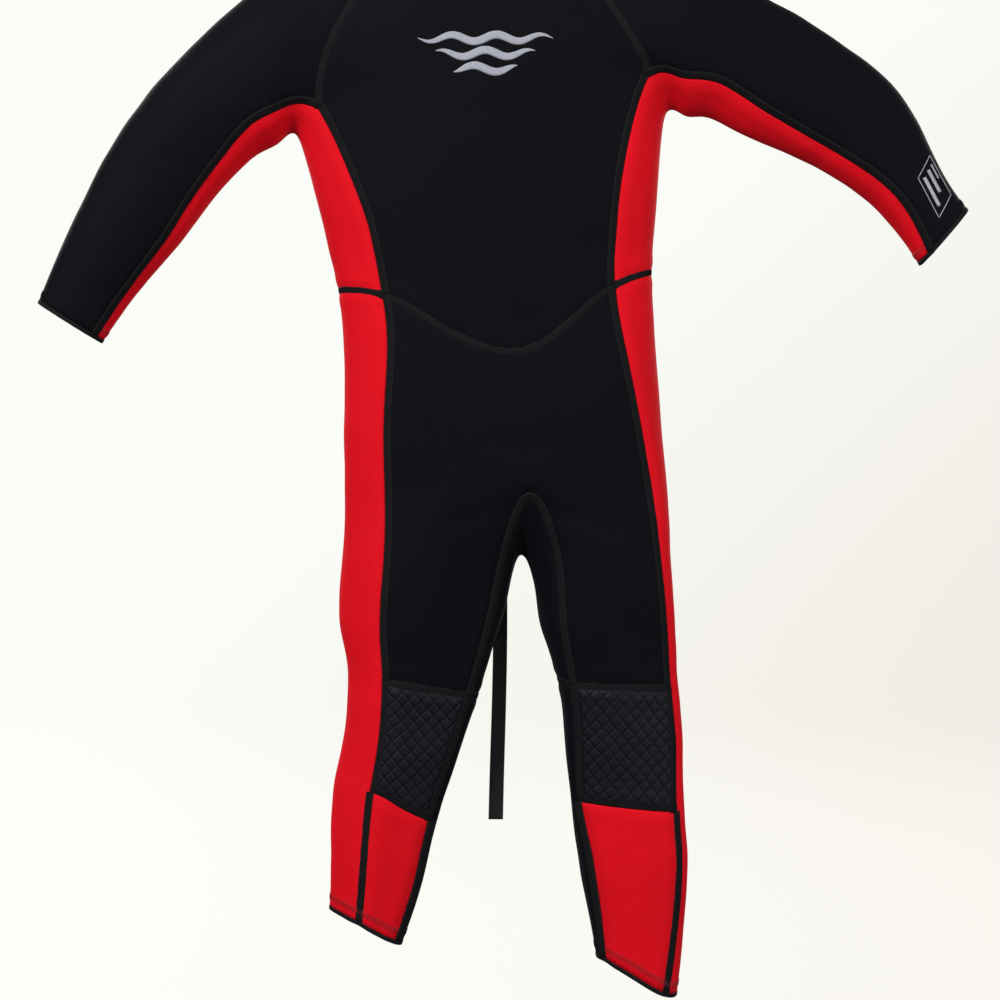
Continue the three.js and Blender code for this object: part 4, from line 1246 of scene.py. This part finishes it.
def rounded(outline, radius):
    """Rounds each corner of an outline by a short curve."""
    outline = np.array(outline, float)
    result = []
    for i, corner in enumerate(outline):
        before, after = outline[i - 1], outline[(i + 1) % len(outline)]
        cut = min(radius, 0.45 * np.linalg.norm(before - corner), 0.45 * np.linalg.norm(after - corner))
        a = corner + (before - corner) / np.linalg.norm(before - corner) * cut
        b = corner + (after - corner) / np.linalg.norm(after - corner) * cut
        result += [(1 - t) ** 2 * a + 2 * t * (1 - t) * corner + t * t * b for t in np.linspace(0, 1, 5)]
    return result


def moulded(name, outlines, low, high, axes, bevel, finish, origin=ZIP_ORIGIN):
    """A moulded part: outlines (the first with holes after it) in two axes, drawn out along the third.

    The finish is its material, its body and its slot."""
    curve = bpy.data.curves.new(name, "CURVE")
    curve.dimensions = "2D"
    curve.fill_mode = "BOTH"
    curve.extrude = (high - low) / 2 - bevel
    curve.bevel_depth = bevel
    curve.bevel_resolution = 2
    curve.offset = -bevel
    for outline in outlines:
        spline = curve.splines.new("POLY")
        spline.points.add(len(outline) - 1)
        spline.points.foreach_set("co", np.array([(a, b, 0, 1) for a, b in outline], np.float32).ravel())
        spline.use_cyclic_u = True
    holder = in_scene(name, curve)
    bpy.context.view_layer.update()
    shape = bpy.data.meshes.new_from_object(holder)
    bpy.data.objects.remove(holder)
    work = bmesh.new()
    work.from_mesh(shape)
    bmesh.ops.remove_doubles(work, verts=work.verts, dist=0.002)
    work.to_mesh(shape)
    work.free()
    flat = np.empty(len(shape.vertices) * 3)
    shape.vertices.foreach_get("co", flat)
    flat = flat.reshape(-1, 3)
    placed = np.zeros_like(flat)
    for column, axis in enumerate(axes):
        placed[:, "xyz".index(axis)] = flat[:, column]
    placed[:, "xyz".index(({"x", "y", "z"} - set(axes)).pop())] = flat[:, 2] + (low + high) / 2
    faces = [tuple(f.vertices) for f in shape.polygons]
    bpy.data.meshes.remove(shape)
    piece = turned_outwards(object_from(name, zip_at(placed, origin), faces, *finish))
    piece.data.set_sharp_from_angle(angle=0.7)
    return piece


def zip_plastic(name, dark, pale, roughness):
    material, tree, shader = new_material(name, dark, roughness)
    flow = grain(tree, 260, 4)
    tinted(tree, shader, flow, dark, pale)
    roughened(tree, shader, flow, roughness - 0.08, roughness + 0.14)
    embossed(tree, shader, flow, 0.25, 0.00008)
    return material


tooth_plastic = zip_plastic("tooth_plastic", (0.007, 0.007, 0.0085), (0.015, 0.015, 0.0175), 0.34)
slider_plastic = zip_plastic("slider_plastic", (0.0055, 0.0055, 0.007), (0.012, 0.012, 0.0145), 0.42)
TOOTH_FINISH = (tooth_plastic, "suit", "zip_plastic")
SLIDER_FINISH = (slider_plastic, "slider", "zip_plastic")
tape_weave = woven("zip_tape_weave", (0.008, 0.008, 0.010), 0.8, 22,
                   (0.004, 0.004, 0.005), (0.016, 0.016, 0.019), 0.6, 0.0002)

ZIP_ACROSS = np.array((math.cos(ZIP_TURN), 0.0, -math.sin(ZIP_TURN)))
ZIP_OUT = np.array((0.0, 1.0, 0.0))
TOOTH_PITCH = 2.4
TOOTH_ROWS = 129
TAPE_WIDTH = 12 * MM
TAPE_THREADS = 0.8          # pitch of the tape's threads along it, in millimetres


def tooth_shape(direction):
    """One moulded tooth: a block on the tape's edge with a narrower head that meets its neighbours."""
    rows = [(-1.5, 0.55, 0.85), (0.4, 0.55, 1.05), (0.9, 0.38, 0.95), (1.35, 0.52, 0.85), (1.5, 0.40, 0.65)]
    points, faces = [], []
    corner = [(-1, -0.7), (-0.7, -1), (0.7, -1), (1, -0.7), (1, 0.7), (0.7, 1), (-0.7, 1), (-1, 0.7)]
    for x, half, tall in rows:
        points += [(direction * x * MM, a * half * MM, b * tall * MM) for a, b in corner]
    for r in range(len(rows) - 1):
        for i in range(8):
            j = (i + 1) % 8
            quad = (r * 8 + i, r * 8 + j, r * 8 + 8 + j, r * 8 + 8 + i)
            faces.append(quad if direction < 0 else quad[::-1])
    first, last = tuple(range(8)), tuple(range(len(points) - 8, len(points)))
    faces += [first, last[::-1]] if direction > 0 else [first[::-1], last]
    return np.array(points), faces


def dash_of(half_length, radius, rise):
    """One running stitch, along its row."""
    return thread_arc((0, -half_length * MM, 0), (0, half_length * MM, 0), rise * MM, radius * MM)


for side, sign in (("left", -1), ("right", 1)):
    start = -0.8 - (TOOTH_PITCH / 2 if side == "left" else 0.0)
    end = start - TOOTH_ROWS * TOOTH_PITCH + TOOTH_PITCH / 2
    rail = zip_at([(sign * 1.55, -1.9, z) for z in np.linspace(start, end, 40)])
    teeth = stitched("zip_teeth_" + side, [(rail, ZIP_OUT)], tooth_shape(-sign), TOOTH_PITCH * MM,
                     *TOOTH_FINISH)
    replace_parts(turned_outwards(teeth), "zip_chain_" + side)
    tape_line = zip_at([(sign * 7.0, -3.6, z) for z in np.linspace(2, -ZIP_LENGTH - 6, 60)])
    section = flat_section(TAPE_WIDTH, 0.6 * MM)
    points, faces = strip_along(tape_line, ZIP_ACROSS, ZIP_OUT, section)
    tape = object_from("zip_tape_cloth_" + side, points, faces, tape_weave, "suit", "zip_tape")
    add_weave_uv(turned_outwards(tape), np.arange(60) * ZIP_LENGTH / 60 / TAPE_THREADS, section, TAPE_WIDTH)
    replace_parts(tape, "zip_tape_" + side)
    stop = rounded([(sign * 0.3, 0.4), (sign * 3.2, 0.4), (sign * 3.2, 3), (sign * 0.3, 3)], 0.5)
    top_stop = moulded("zip_stop_" + side, [stop], -3, -0.6, "xz", 0.3, TOOTH_FINISH)
    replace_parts(top_stop, "zip_top_stop_" + side)
    for count, beyond in enumerate((2.8, 5.6)):
        seam_x = sign * (ZIP_OPENING / MM + beyond)
        guide = zip_at([(seam_x, 0, z) for z in np.linspace(-1, -ZIP_LENGTH - 4, 90)])
        rail, out, _ = on_surface(guide, 0.12 * MM)
        stitched(f"zip_seam_{side}_{count}", [(rail, out)], dash_of(0.95, 0.24, 0.18), 2.6 * MM, thread_black,
                 "suit", "edge_binding")

box_top, box_foot = -ZIP_LENGTH - 0.4, -ZIP_LENGTH - 4.8
box = rounded([(-3.6, box_top), (3.6, box_top), (3.6, box_foot), (-3.6, box_foot)], 1.0)
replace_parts(moulded("zip_box", [box], -3, -0.6, "xz", 0.4, TOOTH_FINISH), "zip_bottom_stop")
FLAP_WIDTH = 37 * MM
flap_line = zip_at([(-1.5, -5.6, z) for z in np.linspace(0, -ZIP_LENGTH - 4, 60)])
points, faces = strip_along(flap_line, ZIP_ACROSS, ZIP_OUT, flat_section(FLAP_WIDTH, 1.6 * MM, 0.05))
flap = turned_outwards(object_from("inner_flap_cloth", points, faces, black_jersey, "suit", "black_neoprene"))
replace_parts(flap, "inner_zip_flap")


# ---- Zip slider and pull tab: moulded plastic; the tab swings on the slider's bridge.
# The slider is two plates joined by side walls that ride over the teeth.
plate = rounded([(-3.0, 0), (3.0, 0), (5, -2.6), (5, -7.5), (4.1, -13.2), (3.2, -14), (-3.2, -14),
                 (-4.1, -13.2), (-5, -7.5), (-5, -2.6)], 1.2)
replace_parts(moulded("slider_plate_front", [plate], -0.4, 0.9, "xz", 0.35, SLIDER_FINISH), "zip_slider")
for side, sign in (("left", -1), ("right", 1)):
    wall = rounded([(sign * 3.7, -1.6), (sign * 4.9, -2.6), (sign * 4.9, -8), (sign * 4.2, -13.2),
                    (sign * 3.7, -13.2)], 0.4)
    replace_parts(moulded("slider_wall_" + side, [wall], -2.8, -0.2, "xz", 0.2, SLIDER_FINISH), "zip_slider")
under = rounded([(-3.0, -1), (3.0, -1), (4.6, -3.4), (4.6, -8), (3.8, -13), (3, -14), (-3, -14), (-3.8, -13),
                 (-4.6, -8), (-4.6, -3.4)], 1.2)
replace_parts(moulded("slider_plate_back", [under], -4.7, -4.15, "xz", 0.15, SLIDER_FINISH), "zip_slider_plate")
bridge = rounded([(0.9, -2.8), (4, -3.4), (4.4, -4.2), (4.4, -9.8), (4, -10.6), (0.9, -11.2), (0.9, -9.9),
                  (3.2, -9.4), (3.2, -4.6), (0.9, -4.1)], 0.5)
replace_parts(moulded("slider_bridge_arch", [bridge], -1.5, 1.5, "yz", 0.3, SLIDER_FINISH), "zip_slider_bridge")

tab_outline = rounded([(-3.8, -4.6), (3.8, -4.6), (4.4, -17), (8.6, -22.6), (8.6, -27.4), (7.4, -28.4),
                       (-7.4, -28.4), (-8.6, -27.4), (-8.6, -22.6), (-4.4, -17)], 1.4)
upper_window = rounded([(-2.2, -6.2), (2.2, -6.2), (2.2, -13), (-2.2, -13)], 0.9)
strap_window = rounded([(-6.7, -23.6), (6.7, -23.6), (6.7, -27), (-6.7, -27)], 0.8)
pull = moulded("pull_tab_plate", [tab_outline, upper_window, strap_window], 1.5, 2.6, "xz", 0.3,
               (slider_plastic, "tab", "zip_plastic"))
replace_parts(pull, "pull_tab")

# The strap's end goes through the tab's lower window and is sewn back on itself.
fold = smooth_line([(0, 0.6, -47), (0, 0.6, -40), (0, 0.55, -33), (0, 0.55, -28.6), (0, 0.95, -26.5),
                    (0, 2.05, -25.8), (0, 3.15, -26.5), (0, 3.55, -28.6), (0, 3.55, -33), (0, 3.5, -40),
                    (0, 3.5, -47)], 5)
fold_path = zip_at(fold)
fold_out = unit(np.cross(unit(np.gradient(fold_path, axis=0)), ZIP_ACROSS))
section = flat_section(STRAP_WIDTH, 0.84 * MM, 0.05)
points, faces = strip_along(fold_path, ZIP_ACROSS, fold_out, section)
fold_piece = turned_outwards(object_from("strap_fold", points, faces, webbing, "strap", "strap_webbing"))
fold_distance = np.r_[0, np.cumsum(np.linalg.norm(np.diff(fold_path, axis=0), axis=1))]
add_weave_uv(fold_piece, fold_distance / THREAD_PITCH, section, STRAP_WIDTH)
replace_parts(fold_piece, "strap_loop")
box_corners = [(-4.4, -31.5), (4.4, -31.5), (4.4, -45), (-4.4, -45), (-4.4, -31.5), (4.4, -45), (4.4, -31.5),
               (-4.4, -45)]
box_runs = []
for (x0, z0), (x1, z1) in zip(box_corners, box_corners[1:]):
    rail = zip_at([(x0 + (x1 - x0) * t, 4.05, z0 + (z1 - z0) * t) for t in np.linspace(0, 1, 6)])
    box_runs.append((rail, ZIP_OUT))
stitched("strap_box_stitch", box_runs, dash_of(0.6, 0.2, 0.14), 1.6 * MM, thread_black, "strap",
         "strap_webbing")


# ---- Collar tab: a neoprene tab that closes over the zip's top with hook and loop pads.
# Its free end lifts off the loop pad sewn to the collar; a line of stitches runs round it.
loop_pile, _ = grained("loop_pile", (0.006, 0.006, 0.007), 0.9, 900, 6,
                       (0.006, 0.006, 0.007), (0.030, 0.030, 0.034), 0.9, 0.0005)
hook_base, _ = grained("hook_base", (0.010, 0.010, 0.012), 0.9, 500, 6,
                       (0.010, 0.010, 0.012), (0.028, 0.028, 0.032), 0.4, 0.0005)
pad_outline = rounded([(-26, -11), (-4, -11), (-4, 11), (-26, 11)], 2.5)
LOOP_FINISH = (loop_pile, "suit", "hook_and_loop")
HOOK_FINISH = (hook_base, "collar_flap", "hook_and_loop")
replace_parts(moulded("loop_pad_pile", [pad_outline], 0.3, 1.0, "xz", 0.2, LOOP_FINISH, COLLAR_TAB_ORIGIN),
            "collar_loop_pad")
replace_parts(moulded("hook_pad_base", [pad_outline], 1.6, 2.2, "xz", 0.15, HOOK_FINISH, COLLAR_TAB_ORIGIN),
            "collar_hook_pad")
HOOK_PITCH = 1.3
hook = thread_arc((0, -0.3 * MM, -0.05 * MM), (0, 0.3 * MM, -0.05 * MM), 0.45 * MM, 0.1 * MM, 4, 4)
hook_rows = []
for x in np.arange(-24.6, -5, HOOK_PITCH):
    rail = zip_at([(x, 1.62, z) for z in np.linspace(-9.6, 9.6, 5)], COLLAR_TAB_ORIGIN)
    hook_rows.append((rail, -ZIP_OUT))
stitched("hook_pad_hooks", hook_rows, hook, HOOK_PITCH * MM, *HOOK_FINISH)
tab_shape = rounded([(-30, -13), (26, -13), (26, 13), (-30, 13)], 6)
collar_tab = moulded("collar_tab_cloth", [tab_shape], 2.5, 4.1, "xz", 0.45,
                     (black_jersey, "collar_flap", "collar_neoprene"), COLLAR_TAB_ORIGIN)
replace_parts(collar_tab, "collar_tab")
tab_line = rounded([(-27.6, -10.6), (23.6, -10.6), (23.6, 10.6), (-27.6, 10.6)], 5)
tab_rail = zip_at([(x, 4.14, z) for x, z in tab_line + tab_line[:1]], COLLAR_TAB_ORIGIN)
stitched("collar_tab_stitch", [(tab_rail, ZIP_OUT)], dash_of(0.85, 0.22, 0.16), 2.4 * MM, thread_black,
         "collar_flap", "edge_binding")


# ---- Prints: flexible silver-grey ink on the chest and by the right cuff.
# Both are plain patterns: three waves on the chest, a frame with bars on the sleeve.
ink, _ = grained("silver_ink", (0.30, 0.31, 0.35), 0.5, 420, 5,
                 (0.22, 0.23, 0.27), (0.38, 0.39, 0.44), 0.3, 0.0001)
INK_RAISE = 0.14 * MM


def ink_ribbon(middle_line, half_widths):
    """A thin closed ribbon of ink laid on the front of the suit; the line is (x, z) in millimetres."""
    line = np.array(middle_line, float)
    along = np.gradient(line, axis=0)
    side = np.stack([-along[:, 1], along[:, 0]], axis=1)
    side /= np.maximum(np.linalg.norm(side, axis=1, keepdims=True), 1e-9)
    tops, bottoms = [], []
    for share in np.linspace(-1, 1, 5):
        for (x, z), (a, b), half in zip(line, side, half_widths):
            x_here, z_here = (x + a * share * half) * MM, (z + b * share * half) * MM
            place, normal, _, _ = suit_surface.ray_cast(Vector((x_here, -0.4, z_here)), Vector((0, 1, 0)))
            if place is None:
                place, normal, _, _ = suit_surface.find_nearest(Vector((x_here, -0.02, z_here)))
            tops.append(np.array(place + normal * INK_RAISE))
            bottoms.append(np.array(place - normal * 0.1 * MM))
    count, points = len(line), np.array(tops + bottoms)
    under, faces = 5 * count, []
    for r in range(4):
        for i in range(count - 1):
            a, b, c, d = r * count + i, r * count + i + 1, (r + 1) * count + i + 1, (r + 1) * count + i
            faces += [(a, b, c, d), (under + d, under + c, under + b, under + a)]
    rim = list(range(count)) + [r * count + count - 1 for r in range(1, 5)]
    rim += [4 * count + i for i in range(count - 2, -1, -1)] + [r * count for r in range(3, 0, -1)]
    for a, b in zip(rim, rim[1:] + rim[:1]):
        faces.append((b, a, under + a, under + b))
    return points, faces


def printed(name, ribbons, slot):
    points, faces = joined([ink_ribbon(line, widths) for line, widths in ribbons])
    return turned_outwards(object_from(name, points, faces, ink, "suit", slot))


waves = []
for half_length, height, phase in ((53, -95, 0.0), (39, -107, 1.6), (25, -119, 3.2)):
    share = np.linspace(-1, 1, 73)
    wave = 2.6 * np.sin(share * half_length / 52 * 9.4 + phase)
    line = np.stack([3 + half_length * share, height + wave], axis=1)
    waves.append((line, 3.0 * (1 - np.abs(share) ** 3) + 0.15))
printed("chest_print", waves, "black_neoprene")

CUFF_CORNER = np.array((344.8, -201.6))
CUFF_UP = np.array((12.6, 22.4))
CUFF_ALONG = np.array((17.0, -31.0))


def cuff_line(first, last, width, steps=16):
    """A bar of the cuff print between two places given as shares of its two sides."""
    a, b = np.array(first, float), np.array(last, float)
    shares = [a + (b - a) * t for t in np.linspace(0, 1, steps)]
    line = [CUFF_CORNER + CUFF_UP * up + CUFF_ALONG * along for up, along in shares]
    return np.array(line), np.full(steps, width)


frame_corners = [(0, 0), (0.86, 0), (0.86, 1), (0, 1), (0, 0)]
bars = [cuff_line(a, b, 0.3) for a, b in zip(frame_corners, frame_corners[1:])]
for up, end, width in ((0.22, 0.86, 1.5), (0.5, 0.7, 1.5), (0.72, 0.5, 0.8)):
    bars.append(cuff_line((up, 0.14), (up, end), width))
printed("cuff_print", bars, "black_neoprene")
